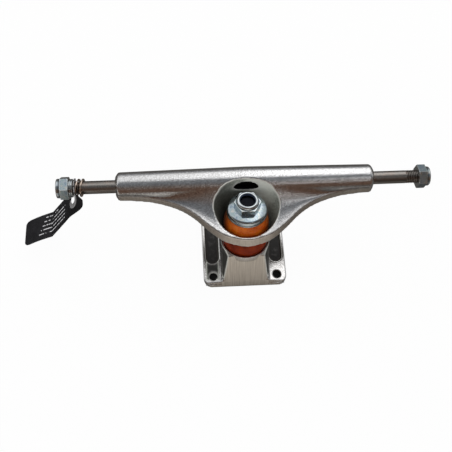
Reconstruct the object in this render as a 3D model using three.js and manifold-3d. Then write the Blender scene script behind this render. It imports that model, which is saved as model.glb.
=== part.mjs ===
// A skateboard truck in millimetres, +Z up, with the axle along X and the pivot towards +Y.
// The origin is the middle of the baseplate's underside.
import * as THREE from 'three';
import { ConvexGeometry } from 'three/addons/geometries/ConvexGeometry.js';
import { mergeVertices } from 'three/addons/utils/BufferGeometryUtils.js';
import Module from 'manifold-3d';

const wasm = await Module();
wasm.setup();

// Driving dimensions

const PLATE_THICKNESS = 5.6;
const PLATE_CORNER_RADIUS = 6;
const BOLT_HOLE_DIAMETER = 5.4;
const BOLT_SPACING_ACROSS = 41.275;
const BOLT_SPACING_SHORT = 53.975;
const BOLT_SPACING_LONG = 63.5;
const BOLT_FRONT_MARGIN = 6.1;
const BOLT_REAR_MARGIN = 10.4;
const BOLT_SIDE_MARGIN = 6.16;

const HANGER_LENGTH = 156.8;
const AXLE_LENGTH = 222.25;
const AXLE_DIAMETER = 7.94;
const AXLE_HEIGHT = 55;
const AXLE_SETBACK = 40;
const AXLE_THREAD_LENGTH = 12;
const AXLE_THREAD_PITCH = 1.06;
const AXLE_THREAD_DEPTH = 0.5;

const KINGPIN_DIAMETER = 9.5;
const KINGPIN_LEAN = THREE.MathUtils.degToRad(9);
const KINGPIN_SETBACK = 16.9;
const SEAT_HEIGHT = 22.6;
const BOTTOM_BUSHING_HEIGHT = 12.2;
const BOTTOM_BUSHING_DIAMETER = 28.8;
const TOP_BUSHING_HEIGHT = 15;
const TOP_BUSHING_BASE_DIAMETER = 26.6;
const TOP_BUSHING_TOP_DIAMETER = 23.6;
const RING_THICKNESS = 4.6;

const PIVOT_SETBACK = 58.5;
const PIVOT_HEIGHT = 15;
const NUB_RADIUS = 6;

// Clearances

const FIT_GAP = 0.3;
const STACK_GAP = 0.3;
const PIVOT_GAP = 0.35;
const OVERRUN = 2;

// How finely round things are cut

const ROUND_STEPS = 32;
const SMALL_ROUND_STEPS = 24;
const THREAD_STEPS = 16;
const BEND_STEPS = 5;

// Places that follow from the sizes

const plateWidth = BOLT_SPACING_ACROSS + 2 * BOLT_SIDE_MARGIN;
const plateLength = BOLT_SPACING_LONG + BOLT_FRONT_MARGIN + BOLT_REAR_MARGIN;
const frontHoleY = -plateLength / 2 + BOLT_FRONT_MARGIN;
const axleY = frontHoleY + AXLE_SETBACK;
const kingpinUp = new THREE.Vector3(0, Math.sin(KINGPIN_LEAN), Math.cos(KINGPIN_LEAN));
const kingpinBack = new THREE.Vector3(0, Math.cos(KINGPIN_LEAN), -Math.sin(KINGPIN_LEAN));
const seatCentre = new THREE.Vector3(0, frontHoleY + KINGPIN_SETBACK, SEAT_HEIGHT);
const pivotCentre = new THREE.Vector3(0, frontHoleY + PIVOT_SETBACK, PIVOT_HEIGHT);

// The stack on the kingpin, counted up from the seat's washer
const bottomBushingFoot = STACK_GAP;
const ringFoot = bottomBushingFoot + BOTTOM_BUSHING_HEIGHT + STACK_GAP;
const ringTop = ringFoot + RING_THICKNESS;
const topBushingFoot = ringTop + STACK_GAP;
const topWasherFoot = topBushingFoot + TOP_BUSHING_HEIGHT + STACK_GAP;

const ringCentre = onKingpin(0, ringFoot + RING_THICKNESS / 2);
const steerAxis = ringCentre.clone().sub(pivotCentre).normalize();

// A point set back from the kingpin's axis, at a height above the seat's washer
function onKingpin(back, height) {
  return seatCentre.clone().addScaledVector(kingpinBack, back).addScaledVector(kingpinUp, height);
}

// Materials

function metal(color, roughness) {
  return new THREE.MeshStandardMaterial({ color, roughness, metalness: 1 });
}

function plastic(color, roughness) {
  return new THREE.MeshStandardMaterial({ color, roughness, metalness: 0 });
}

const castAluminium = metal(0xb9bcc0, 0.32);
const sandedAluminium = metal(0xa9a49d, 0.45);
const darkSteel = metal(0x5b544c, 0.38);
const brightZinc = metal(0xc3cbd2, 0.25);
const goldZinc = metal(0xb98f5e, 0.35);
const amberUrethane = plastic(0xc2600f, 0.4);
const blackPlastic = plastic(0x1b1c1e, 0.55);
const blueNylon = plastic(0x1f2836, 0.6);
const blackCard = plastic(0x18171a, 0.75);

// Solids and their geometry

function solidOf(geometry) {
  const bare = geometry.clone();
  bare.deleteAttribute('normal');
  bare.deleteAttribute('uv');
  const merged = mergeVertices(bare);
  const vertProperties = new Float32Array(merged.attributes.position.array);
  const triVerts = new Uint32Array(merged.index.array);
  return new wasm.Manifold(new wasm.Mesh({ numProp: 3, vertProperties, triVerts }));
}

function geometryOf(solid) {
  const mesh = solid.getMesh();
  const geometry = new THREE.BufferGeometry();
  geometry.setAttribute('position', new THREE.BufferAttribute(mesh.vertProperties, mesh.numProp));
  geometry.setIndex(new THREE.BufferAttribute(mesh.triVerts, 1));
  return geometry;
}

function join(...solids) {
  return solids.reduce((whole, piece) => whole.add(piece));
}

function cut(solid, ...tools) {
  return tools.reduce((rest, tool) => rest.subtract(tool), solid);
}

// A body turned about Z from a list of [radius, height] points
function turned(points, steps = ROUND_STEPS) {
  const outline = points.map(([radius, height]) => new THREE.Vector2(radius, height));
  return new THREE.LatheGeometry(outline, steps).rotateX(Math.PI / 2);
}

function rod(radius, low, high, steps = ROUND_STEPS) {
  return turned([[0, low], [radius, low], [radius, high], [0, high]], steps);
}

// The lower half of a ball's outline, from the axis out to the rim
function dome(radius) {
  const points = [];
  for (let step = 0; step <= BEND_STEPS; step += 1) {
    const angle = Math.PI / 2 * step / BEND_STEPS;
    points.push([radius * Math.sin(angle), -radius * Math.cos(angle)]);
  }
  return points;
}

function tube(inner, outer, low, high, steps = ROUND_STEPS) {
  return turned([[inner, low], [outer, low], [outer, high], [inner, high], [inner, low]], steps);
}

// A hexagonal bar with its flats facing +Y and -Y
function hexBar(acrossFlats, low, high) {
  const corner = acrossFlats / Math.sqrt(3);
  const bar = new THREE.CylinderGeometry(corner, corner, high - low, 6);
  return bar.rotateY(Math.PI / 6).rotateX(Math.PI / 2).translate(0, 0, (low + high) / 2);
}

// A flat outline in X and Y, raised from one height to another
function raised(shape, low, high, steps = BEND_STEPS) {
  const settings = { depth: high - low, bevelEnabled: false, curveSegments: steps };
  return new THREE.ExtrudeGeometry(shape, settings).translate(0, 0, low);
}

// Stand a geometry made round Z on the kingpin's axis, counted from the seat's washer
function standOnKingpin(geometry) {
  return geometry.rotateX(-KINGPIN_LEAN).translate(seatCentre.x, seatCentre.y, seatCentre.z);
}

// Lay a geometry made round Z along the steering axis, counted from the pivot's centre
function layOnSteerAxis(geometry) {
  const turn = new THREE.Quaternion().setFromUnitVectors(new THREE.Vector3(0, 0, 1), steerAxis);
  return geometry.applyQuaternion(turn).translate(pivotCentre.x, pivotCentre.y, pivotCentre.z);
}

// Lay a geometry made round Z along the axle, with its +Z end towards side * X
function layOnAxle(geometry, side) {
  return geometry.rotateY(side * Math.PI / 2).translate(0, axleY, AXLE_HEIGHT);
}

// A closed body through rings of points that all have the same count
function lofted(rings) {
  const count = rings[0].length;
  const places = rings.flat().flatMap((point) => point.toArray());
  const faces = [];
  for (let ring = 0; ring + 1 < rings.length; ring += 1) {
    for (let side = 0; side < count; side += 1) {
      const next = (side + 1) % count;
      const here = ring * count;
      const there = here + count;
      faces.push(here + side, there + side, there + next, here + side, there + next, here + next);
    }
  }
  for (const [start, flip] of [[0, false], [(rings.length - 1) * count, true]]) {
    const middle = places.length / 3;
    const centre = new THREE.Vector3();
    for (let side = 0; side < count; side += 1) centre.add(rings[start / count][side]);
    places.push(...centre.divideScalar(count).toArray());
    for (let side = 0; side < count; side += 1) {
      const next = (side + 1) % count;
      faces.push(middle, start + (flip ? next : side), start + (flip ? side : next));
    }
  }
  const geometry = new THREE.BufferGeometry();
  geometry.setAttribute('position', new THREE.Float32BufferAttribute(places, 3));
  geometry.setIndex(faces);
  return facingOut(geometry);
}

// Turn the faces round if the body is inside out
function facingOut(geometry) {
  const place = geometry.attributes.position;
  const index = geometry.index.array;
  const corner = [new THREE.Vector3(), new THREE.Vector3(), new THREE.Vector3()];
  let volume = 0;
  for (let face = 0; face < index.length; face += 3) {
    corner.forEach((point, side) => point.fromBufferAttribute(place, index[face + side]));
    volume += corner[0].dot(corner[1].cross(corner[2]));
  }
  if (volume > 0) return geometry;
  for (let face = 0; face < index.length; face += 3) {
    [index[face], index[face + 1]] = [index[face + 1], index[face]];
  }
  return geometry;
}

const truck = new THREE.Group();

function place(name, geometry, material) {
  const mesh = new THREE.Mesh(geometry, material);
  mesh.name = name;
  truck.add(mesh);
}

// Baseplate: a flat plate, the sloped kingpin boss, a spine and the pivot housing

const SEAT_RIM_DIAMETER = 30.8;
const SEAT_RECESS_DIAMETER = 29.2;
const SEAT_RECESS_DEPTH = 1.6;
const SEAT_RIM_RISE = 2;
const SEAT_RIM_HEIGHT = 4;
const BOSS_TOP_HALF_WIDTH = 11.4;
const BOSS_FOOT_HALF_WIDTH = 15.2;
const BOSS_REAR_HALF_WIDTH = 15.2;
const BOSS_REAR_REACH = 19;
const BOSS_REAR_TOP_HALF_WIDTH = 9;
const SPINE_HALF_WIDTH = 7;
const SPINE_HEIGHT = 10.5;
const HEAD_ACROSS_FLATS = 14.29;
const HEAD_HEIGHT = 5.6;
const HEAD_RECESS_SLACK = 0.5;
const HEAD_SEAT_DEPTH = 14.6;
const CUP_WALL = 2.3;
const CUP_MOUTH = 7;
const CUP_LIP_WIDTH = 1.2;
const CUP_LIP_HEIGHT = 1;
const HOUSING_WALL = 3;
const HOUSING_FOOT_HALF_WIDTH = 13;
const HOUSING_FOOT_FRONT = 12;
const POCKET_WIDTH = 8.6;
const POCKET_DEPTH = 1.3;
const POCKET_HOLE_GAP = 8.8;
const POCKET_EDGE_GAP = 1.9;

const cupOuterRadius = NUB_RADIUS + PIVOT_GAP + CUP_WALL;
const housingRadius = cupOuterRadius + FIT_GAP + HOUSING_WALL;
const plateFrontY = -plateLength / 2;
const plateBackY = plateLength / 2;
const seatFront = onKingpin(-SEAT_RIM_DIAMETER / 2, SEAT_RIM_RISE);
const frontSlope = (seatFront.y - plateFrontY) / seatFront.z;

// The front face leans back as one flat from the underside to the seat
function frontFaceY(height) {
  return plateFrontY + frontSlope * height;
}

function plateBody() {
  const halfWidth = plateWidth / 2;
  const outline = new THREE.Shape();
  const round = PLATE_CORNER_RADIUS;
  outline.moveTo(-halfWidth + round, plateFrontY);
  outline.lineTo(halfWidth - round, plateFrontY);
  outline.absarc(halfWidth - round, plateFrontY + round, round, -Math.PI / 2, 0, false);
  outline.lineTo(halfWidth, plateBackY - round);
  outline.absarc(halfWidth - round, plateBackY - round, round, 0, Math.PI / 2, false);
  outline.lineTo(-halfWidth + round, plateBackY);
  outline.absarc(-halfWidth + round, plateBackY - round, round, Math.PI / 2, Math.PI, false);
  outline.lineTo(-halfWidth, plateFrontY + round);
  outline.absarc(-halfWidth + round, plateFrontY + round, round, Math.PI, 1.5 * Math.PI, false);
  return solidOf(raised(outline, 0, PLATE_THICKNESS));
}

// What lies in front of the leaning front face
function frontWedge() {
  const side = new THREE.Shape();
  side.moveTo(frontFaceY(-OVERRUN), -OVERRUN);
  side.lineTo(seatFront.y, seatFront.z);
  side.lineTo(plateFrontY - OVERRUN, seatFront.z);
  side.lineTo(plateFrontY - OVERRUN, -OVERRUN);
  const wedge = raised(side, -plateWidth, plateWidth);
  return solidOf(wedge.rotateX(Math.PI / 2).rotateZ(Math.PI / 2));
}

function kingpinBoss() {
  const points = [];
  for (let step = 0; step < ROUND_STEPS; step += 1) {
    const angle = 2 * Math.PI * step / ROUND_STEPS;
    for (const height of [SEAT_RIM_RISE - SEAT_RIM_HEIGHT, SEAT_RIM_RISE]) {
      const point = onKingpin(SEAT_RIM_DIAMETER / 2 * Math.sin(angle), height);
      points.push(point.setX(SEAT_RIM_DIAMETER / 2 * Math.cos(angle)));
    }
  }
  const shoulder = seatFront.z - SEAT_RIM_HEIGHT / 2;
  for (const side of [-1, 1]) {
    points.push(new THREE.Vector3(side * BOSS_TOP_HALF_WIDTH, frontFaceY(shoulder), shoulder));
    points.push(new THREE.Vector3(side * BOSS_FOOT_HALF_WIDTH, frontFaceY(0), 0));
    points.push(new THREE.Vector3(side * BOSS_REAR_HALF_WIDTH, seatCentre.y + BOSS_REAR_REACH, 0));
    points.push(new THREE.Vector3(side * BOSS_REAR_TOP_HALF_WIDTH,
      seatCentre.y + BOSS_REAR_REACH, PLATE_THICKNESS));
  }
  return solidOf(new ConvexGeometry(points));
}

function pivotHousing() {
  const points = [];
  const barrel = turned([...dome(housingRadius), [housingRadius, CUP_MOUTH - FIT_GAP],
    [0, CUP_MOUTH - FIT_GAP]]);
  const places = layOnSteerAxis(barrel).attributes.position;
  for (let index = 0; index < places.count; index += 1) {
    points.push(new THREE.Vector3().fromBufferAttribute(places, index));
  }
  for (const side of [-1, 1]) {
    for (const y of [pivotCentre.y - HOUSING_FOOT_FRONT, plateBackY - PLATE_THICKNESS / 2]) {
      points.push(new THREE.Vector3(side * HOUSING_FOOT_HALF_WIDTH, y, PLATE_THICKNESS / 2));
    }
  }
  return solidOf(new ConvexGeometry(points));
}

function spine() {
  const length = pivotCentre.y - seatCentre.y;
  const bar = new THREE.BoxGeometry(2 * SPINE_HALF_WIDTH, length, SPINE_HEIGHT);
  return solidOf(bar.translate(0, seatCentre.y + length / 2, SPINE_HEIGHT / 2));
}

function boltHoles() {
  const radius = BOLT_HOLE_DIAMETER / 2;
  const drills = [];
  for (const side of [-1, 1]) {
    for (const back of [0, BOLT_SPACING_SHORT, BOLT_SPACING_LONG]) {
      const drill = rod(radius, -OVERRUN, SEAT_HEIGHT, SMALL_ROUND_STEPS);
      drills.push(solidOf(drill.translate(side * BOLT_SPACING_ACROSS / 2, frontHoleY + back, 0)));
    }
  }
  return drills;
}

// The sunken panels beside the boss, each with a round front end
function pockets() {
  const tools = [];
  const reach = POCKET_WIDTH / 2;
  const start = frontHoleY + POCKET_HOLE_GAP;
  const end = frontHoleY + BOLT_SPACING_SHORT - POCKET_HOLE_GAP;
  for (const side of [-1, 1]) {
    const middle = side * (plateWidth / 2 - POCKET_EDGE_GAP - reach);
    const outline = new THREE.Shape();
    outline.absarc(middle, end - reach, reach, 0, Math.PI, false);
    outline.absarc(middle, start + reach, reach, Math.PI, 2 * Math.PI, false);
    outline.closePath();
    const pocket = raised(outline, PLATE_THICKNESS - POCKET_DEPTH, PLATE_THICKNESS + OVERRUN);
    tools.push(solidOf(pocket));
  }
  return tools;
}

function baseplate() {
  const body = join(plateBody(), kingpinBoss(), pivotHousing(), spine());
  const seat = standOnKingpin(rod(SEAT_RECESS_DIAMETER / 2, -SEAT_RECESS_DEPTH,
    SEAT_RIM_RISE + OVERRUN));
  const bore = standOnKingpin(rod(KINGPIN_DIAMETER / 2 + FIT_GAP, -2 * SEAT_HEIGHT, OVERRUN,
    SMALL_ROUND_STEPS));
  const recess = standOnKingpin(hexBar(HEAD_ACROSS_FLATS + 2 * HEAD_RECESS_SLACK,
    -2 * SEAT_HEIGHT, -HEAD_SEAT_DEPTH + FIT_GAP));
  const lip = cupOuterRadius + CUP_LIP_WIDTH + FIT_GAP;
  const socket = layOnSteerAxis(turned([
    ...dome(cupOuterRadius + FIT_GAP),
    [cupOuterRadius + FIT_GAP, CUP_MOUTH - FIT_GAP],
    [lip, CUP_MOUTH - FIT_GAP],
    [lip, CUP_MOUTH + CUP_LIP_HEIGHT + OVERRUN],
    [0, CUP_MOUTH + CUP_LIP_HEIGHT + OVERRUN],
  ]));
  const below = new THREE.BoxGeometry(2 * plateWidth, 2 * plateLength, SEAT_HEIGHT);
  const tools = [frontWedge(), ...pockets(), solidOf(seat), solidOf(bore), solidOf(recess),
    solidOf(socket), ...boltHoles(), solidOf(below.translate(0, 0, -SEAT_HEIGHT / 2))];
  return geometryOf(cut(body, ...tools));
}

place('baseplate', baseplate(), sandedAluminium);

// Kingpin: a bolt with its head under the plate and a thread at the top

const KINGPIN_TIP_DEPTH = 2.4;
const KINGPIN_THREAD_LENGTH = 12;
const KINGPIN_THREAD_PITCH = 1.3;
const KINGPIN_THREAD_DEPTH = 0.6;
const KINGPIN_TIP_CHAMFER = 0.8;
const NUT_ACROSS_FLATS = 14.29;
const NUT_HEX_HEIGHT = 4.4;
const NUT_COLLAR_HEIGHT = 2;
const NUT_COLLAR_DIAMETER = 13.4;
const NUT_COLLAR_WALL = 1.1;
const NUT_CHAMFER = 0.8;
const TOP_WASHER_DIAMETER = 24.6;
const TOP_WASHER_THICKNESS = 1.2;
const TOP_WASHER_DROP = 3.6;
const TOP_WASHER_SHOULDER = 1.4;
const TOP_WASHER_FLAT_DIAMETER = 17.5;

const kingpinNutFoot = topWasherFoot + TOP_WASHER_THICKNESS + STACK_GAP;
const kingpinNutTop = kingpinNutFoot + NUT_HEX_HEIGHT + NUT_COLLAR_HEIGHT;
const kingpinTip = kingpinNutTop - KINGPIN_TIP_DEPTH;

// Ring grooves between two heights of a turned outline, deepest in the middle of each pitch
function grooves(radius, depth, pitch, low, high) {
  const points = [];
  for (let height = low; height + pitch <= high; height += pitch) {
    points.push([radius, height], [radius - depth, height + pitch / 2]);
  }
  return points;
}

function kingpin() {
  const radius = KINGPIN_DIAMETER / 2;
  const threadFoot = kingpinTip - KINGPIN_THREAD_LENGTH;
  const shank = turned([
    [0, -HEAD_SEAT_DEPTH - HEAD_HEIGHT / 2],
    [radius, -HEAD_SEAT_DEPTH - HEAD_HEIGHT / 2],
    ...grooves(radius, KINGPIN_THREAD_DEPTH, KINGPIN_THREAD_PITCH, threadFoot,
      kingpinTip - KINGPIN_TIP_CHAMFER),
    [radius, kingpinTip - KINGPIN_TIP_CHAMFER],
    [radius - KINGPIN_TIP_CHAMFER, kingpinTip],
    [0, kingpinTip],
  ], THREAD_STEPS);
  const head = hexBar(HEAD_ACROSS_FLATS, -HEAD_SEAT_DEPTH - HEAD_HEIGHT, -HEAD_SEAT_DEPTH);
  return standOnKingpin(geometryOf(join(solidOf(shank), solidOf(head))));
}

place('kingpin', kingpin(), darkSteel);

// Washers and bushings

const BUSHING_BULGE = 0.7;
const BUSHING_EDGE = 0.9;
const TOP_BUSHING_NECK_DIAMETER = 21;
const TOP_BUSHING_NECK_HEIGHT = 3.9;
const TOP_BUSHING_EDGE = 2;
const BOTTOM_WASHER_THICKNESS = 1.1;
const bushingBore = KINGPIN_DIAMETER / 2 + FIT_GAP;

place('bottom_washer', standOnKingpin(tube(bushingBore, SEAT_RECESS_DIAMETER / 2 - FIT_GAP,
  -BOTTOM_WASHER_THICKNESS, 0)), brightZinc);

// The outline of a barrel that swells between two diameters
function swell(footDiameter, topDiameter, foot, top) {
  const points = [];
  for (let step = 0; step <= BEND_STEPS; step += 1) {
    const share = step / BEND_STEPS;
    const radius = THREE.MathUtils.lerp(footDiameter, topDiameter, share) / 2;
    const bulge = BUSHING_BULGE * Math.sin(Math.PI * share);
    points.push([radius + bulge, THREE.MathUtils.lerp(foot, top, share)]);
  }
  return points;
}

function bottomBushing() {
  const diameter = BOTTOM_BUSHING_DIAMETER - 2 * BUSHING_BULGE;
  const top = bottomBushingFoot + BOTTOM_BUSHING_HEIGHT;
  return standOnKingpin(turned([
    [bushingBore, bottomBushingFoot],
    [diameter / 2 - BUSHING_EDGE, bottomBushingFoot],
    ...swell(diameter, diameter, bottomBushingFoot + BUSHING_EDGE, top - BUSHING_EDGE),
    [diameter / 2 - BUSHING_EDGE, top],
    [bushingBore, top],
    [bushingBore, bottomBushingFoot],
  ]));
}

// The top bushing narrows to a neck that fills the cup washer
function topBushing() {
  const top = topBushingFoot + TOP_BUSHING_HEIGHT;
  const neck = TOP_BUSHING_NECK_DIAMETER / 2;
  const shoulder = top - TOP_BUSHING_NECK_HEIGHT;
  return standOnKingpin(turned([
    [bushingBore, topBushingFoot],
    [TOP_BUSHING_BASE_DIAMETER / 2 - BUSHING_EDGE, topBushingFoot],
    ...swell(TOP_BUSHING_BASE_DIAMETER, TOP_BUSHING_TOP_DIAMETER,
      topBushingFoot + BUSHING_EDGE, shoulder - BUSHING_EDGE),
    [neck, shoulder],
    [neck, top - TOP_BUSHING_EDGE],
    [neck - TOP_BUSHING_EDGE, top],
    [bushingBore, top],
    [bushingBore, topBushingFoot],
  ]));
}

place('bottom_bushing', bottomBushing(), amberUrethane);
place('top_bushing', topBushing(), amberUrethane);

// The top washer is a cup: flat under the nut, a round shoulder, then a skirt with a lip
function topWasher() {
  const rim = TOP_WASHER_DIAMETER / 2;
  const flat = TOP_WASHER_FLAT_DIAMETER / 2;
  const lip = topWasherFoot - TOP_WASHER_DROP;
  const top = topWasherFoot + TOP_WASHER_THICKNESS;
  const inner = rim - TOP_WASHER_THICKNESS;
  const points = [
    [bushingBore, topWasherFoot],
    [flat, topWasherFoot],
    [inner - STACK_GAP, topWasherFoot - TOP_WASHER_SHOULDER],
    [inner, lip + STACK_GAP],
    [rim - TOP_WASHER_THICKNESS / 2, lip],
    [rim - STACK_GAP / 2, lip + STACK_GAP],
    [rim, lip + TOP_WASHER_THICKNESS / 2],
    [rim - STACK_GAP, lip + TOP_WASHER_THICKNESS],
    [rim - STACK_GAP, top - TOP_WASHER_SHOULDER],
    [rim - 2 * STACK_GAP, top - TOP_WASHER_SHOULDER / 2],
    [rim - TOP_WASHER_SHOULDER, top - STACK_GAP / 2],
    [flat, top],
    [bushingBore, top],
    [bushingBore, topWasherFoot],
  ];
  return standOnKingpin(turned(points));
}

place('top_washer', topWasher(), brightZinc);

// Lock nuts: a hexagon with turned-off corners, then a collar that holds a nylon ring

function lockNut(acrossFlats, bore, hexHeight, collarDiameter, collarHeight, collarWall, chamfer) {
  const corner = acrossFlats / Math.sqrt(3);
  const blank = hexBar(acrossFlats, 0, hexHeight);
  const turnedBlank = turned([
    [0, 0],
    [corner - chamfer / 2, 0],
    [corner, chamfer / 2],
    [corner, hexHeight - chamfer],
    [collarDiameter / 2, hexHeight],
    [0, hexHeight],
  ], SMALL_ROUND_STEPS);
  const collar = turned([
    [0, hexHeight - chamfer],
    [collarDiameter / 2, hexHeight - chamfer],
    [collarDiameter / 2, hexHeight + collarHeight - collarWall / 2],
    [collarDiameter / 2 - collarWall / 2, hexHeight + collarHeight],
    [0, hexHeight + collarHeight],
  ], SMALL_ROUND_STEPS);
  const body = join(solidOf(blank).intersect(solidOf(turnedBlank)), solidOf(collar));
  const hole = rod(bore, -OVERRUN, hexHeight + collarHeight + OVERRUN, SMALL_ROUND_STEPS);
  const pocket = rod(collarDiameter / 2 - collarWall, hexHeight, hexHeight + collarHeight + OVERRUN,
    SMALL_ROUND_STEPS);
  return geometryOf(cut(body, solidOf(hole), solidOf(pocket)));
}

function nylonRing(inner, collarDiameter, collarWall, foot, height) {
  return tube(inner, collarDiameter / 2 - collarWall - FIT_GAP / 2, foot, foot + height,
    SMALL_ROUND_STEPS);
}

const NYLON_INSET = 0.4;
const kingpinNutBore = KINGPIN_DIAMETER / 2 + FIT_GAP / 2;
const kingpinNut = lockNut(NUT_ACROSS_FLATS, kingpinNutBore, NUT_HEX_HEIGHT, NUT_COLLAR_DIAMETER,
  NUT_COLLAR_HEIGHT, NUT_COLLAR_WALL, NUT_CHAMFER);
place('kingpin_nut', standOnKingpin(kingpinNut.translate(0, 0, kingpinNutFoot)), brightZinc);
place('kingpin_nut_insert', standOnKingpin(nylonRing(kingpinNutBore, NUT_COLLAR_DIAMETER,
  NUT_COLLAR_WALL, kingpinNutFoot + NUT_HEX_HEIGHT + FIT_GAP / 2,
  NUT_COLLAR_HEIGHT - FIT_GAP / 2 - NYLON_INSET)), blueNylon);

// Pivot cup: a thimble round the nub, with a lip on the housing's mouth

function pivotCup() {
  const inner = NUB_RADIUS + PIVOT_GAP;
  const points = [...dome(cupOuterRadius), [cupOuterRadius, CUP_MOUTH]];
  points.push([cupOuterRadius + CUP_LIP_WIDTH, CUP_MOUTH]);
  points.push([cupOuterRadius + CUP_LIP_WIDTH, CUP_MOUTH + CUP_LIP_HEIGHT]);
  points.push([inner, CUP_MOUTH + CUP_LIP_HEIGHT], ...dome(inner).reverse());
  return layOnSteerAxis(turned(points, SMALL_ROUND_STEPS));
}

place('pivot_cup', pivotCup(), blackPlastic);

// Hanger: the barrel round the axle, swept out in front to the ring, with the pivot arm behind

const BARREL_END_DIAMETER = 17;
const BARREL_MIDDLE_DIAMETER = 19.2;
const NOSE_EDGE = 0.8;
const END_TAPER = 2.6;
const BAND_END_REACH = 7.6;
const BAND_END_DROP = 4.6;
const BAND_END_HEIGHT = 4.2;
const NOSE_RADIUS = 17;
const NOSE_BAND_FOOT = 16.4;
const NOSE_BAND_HEIGHT = 7.6;
const RING_FOOT_RADIUS = 14.3;
const RING_BORE_DIAMETER = 13.4;
const DISH_FLOOR_RADIUS = 14.4;
const DISH_SIDE_FLARE = 0.4;
const DISH_FRONT_FLARE = 0.17;
const DISH_BELLY_RISE = 13;
const DISH_BACK_WAIST = 12.4;
const DISH_WAIST_RISE = 21;
const DISH_BACK_RADIUS = 18.6;
const DISH_HEIGHT = 39.5;
const WINDOW_HALF_WIDTH = 7.6;
const WINDOW_HALF_HEIGHT = 3.8;
const WINDOW_RISE = 3;
const ARM_NECK_REACH = 9.4;

// How far the front band has swept from the barrel's end to the nose, along the half length
const SWEEP_SHARES = [
  [0, 1], [0.09, 0.962], [0.19, 0.87], [0.3, 0.66], [0.4, 0.425], [0.5, 0.255], [0.61, 0.14],
  [0.73, 0.06], [0.86, 0.018], [1, 0],
];
const sweepCurve = new THREE.SplineCurve(SWEEP_SHARES.map(([along, out]) => {
  return new THREE.Vector2(along, out);
}));

function sweepShare(along) {
  let low = 0;
  let high = 1;
  while (high - low > Number.EPSILON * SWEEP_SHARES.length) {
    const middle = (low + high) / 2;
    if (sweepCurve.getPoint(middle).x < along) low = middle;
    else high = middle;
    if (middle === low && middle === high) break;
  }
  return sweepCurve.getPoint(low).y;
}

// Points of a smooth curve in the YZ plane that leaves and arrives along given directions
function bend(x, start, leave, arrive, end, reachShare) {
  const reach = start.distanceTo(end) * reachShare;
  const curve = new THREE.CubicBezierCurve(
    start,
    start.clone().addScaledVector(leave, reach),
    end.clone().addScaledVector(arrive, reach),
    end,
  );
  return curve.getPoints(BEND_STEPS).map((point) => new THREE.Vector3(x, point.x, point.y));
}

const TOP_BEND_SHARE = 0.36;
const UNDER_BEND_SHARE = 0.3;
const FRONT_TANGENT_END = THREE.MathUtils.degToRad(24);
const FRONT_TANGENT_MIDDLE = THREE.MathUtils.degToRad(47);
const LAND_RISE = THREE.MathUtils.degToRad(6);
const UNDER_RISE = THREE.MathUtils.degToRad(4);
const BARREL_ARC_STEPS = 14;

function barrelRadius(along) {
  return THREE.MathUtils.lerp(BARREL_MIDDLE_DIAMETER, BARREL_END_DIAMETER, along) / 2;
}

// One slice of the hanger across X
function hangerSlice(x) {
  const along = Math.min(Math.abs(x) / (HANGER_LENGTH / 2), 1);
  const share = sweepShare(along);
  const radius = barrelRadius(along);
  const up = new THREE.Vector2(kingpinUp.y, kingpinUp.z);
  const back = new THREE.Vector2(kingpinBack.y, kingpinBack.z);
  const axle = new THREE.Vector2(axleY, AXLE_HEIGHT);
  const noseFoot = onKingpin(-NOSE_RADIUS, NOSE_BAND_FOOT);
  const bandFoot = axle.clone().addScaledVector(back, -BAND_END_REACH)
    .addScaledVector(up, -BAND_END_DROP);
  bandFoot.lerp(new THREE.Vector2(noseFoot.y, noseFoot.z), share);
  const bandHeight = THREE.MathUtils.lerp(BAND_END_HEIGHT, NOSE_BAND_HEIGHT, share);
  const bandTop = bandFoot.clone().addScaledVector(up, bandHeight);
  const tangent = THREE.MathUtils.lerp(FRONT_TANGENT_END, FRONT_TANGENT_MIDDLE, share);
  const arc = [];
  for (let step = 0; step <= BARREL_ARC_STEPS; step += 1) {
    const angle = THREE.MathUtils.lerp(Math.PI - tangent, -Math.PI / 2, step / BARREL_ARC_STEPS);
    arc.push(new THREE.Vector2(Math.cos(angle), Math.sin(angle)).multiplyScalar(radius).add(axle));
  }
  const barrel = arc.map((point) => new THREE.Vector3(x, point.x, point.y));
  const under = bend(x, arc[BARREL_ARC_STEPS], new THREE.Vector2(-1, 0),
    new THREE.Vector2(Math.cos(UNDER_RISE), Math.sin(UNDER_RISE)), bandFoot, UNDER_BEND_SHARE);
  const over = bend(x, bandTop, new THREE.Vector2(Math.cos(LAND_RISE), Math.sin(LAND_RISE)),
    new THREE.Vector2(-Math.sin(tangent), -Math.cos(tangent)), arc[0], TOP_BEND_SHARE);
  return [...barrel, ...under.slice(1), ...over.slice(0, -1)];
}

// Slices lie closer together where the sweep turns
const SLICE_SHARES = [
  0, 0.05, 0.1, 0.15, 0.2, 0.25, 0.3, 0.35, 0.4, 0.46, 0.52, 0.6, 0.7, 0.82,
];

// How far in from the end each ring of the taper lies, and how large it is
const END_SHARES = [[0.72, 0.97], [0.42, 0.88], [0, 0.66]];

function hangerBody() {
  const half = HANGER_LENGTH / 2;
  const stops = SLICE_SHARES.map((share) => share * half);
  stops.push(half - END_TAPER);
  const places = [...stops.slice(1).reverse().map((stop) => -stop), ...stops];
  const rings = places.map((x) => hangerSlice(x));
  const [left, right] = [-1, 1].map((side) => END_SHARES.map(([inward, size]) => {
    return hangerSlice(side * (half - inward * END_TAPER)).map((point) => new THREE.Vector3(
      point.x, axleY + (point.y - axleY) * size, AXLE_HEIGHT + (point.z - AXLE_HEIGHT) * size));
  }));
  return solidOf(lofted([...left.reverse(), ...rings, ...right]));
}

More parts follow.
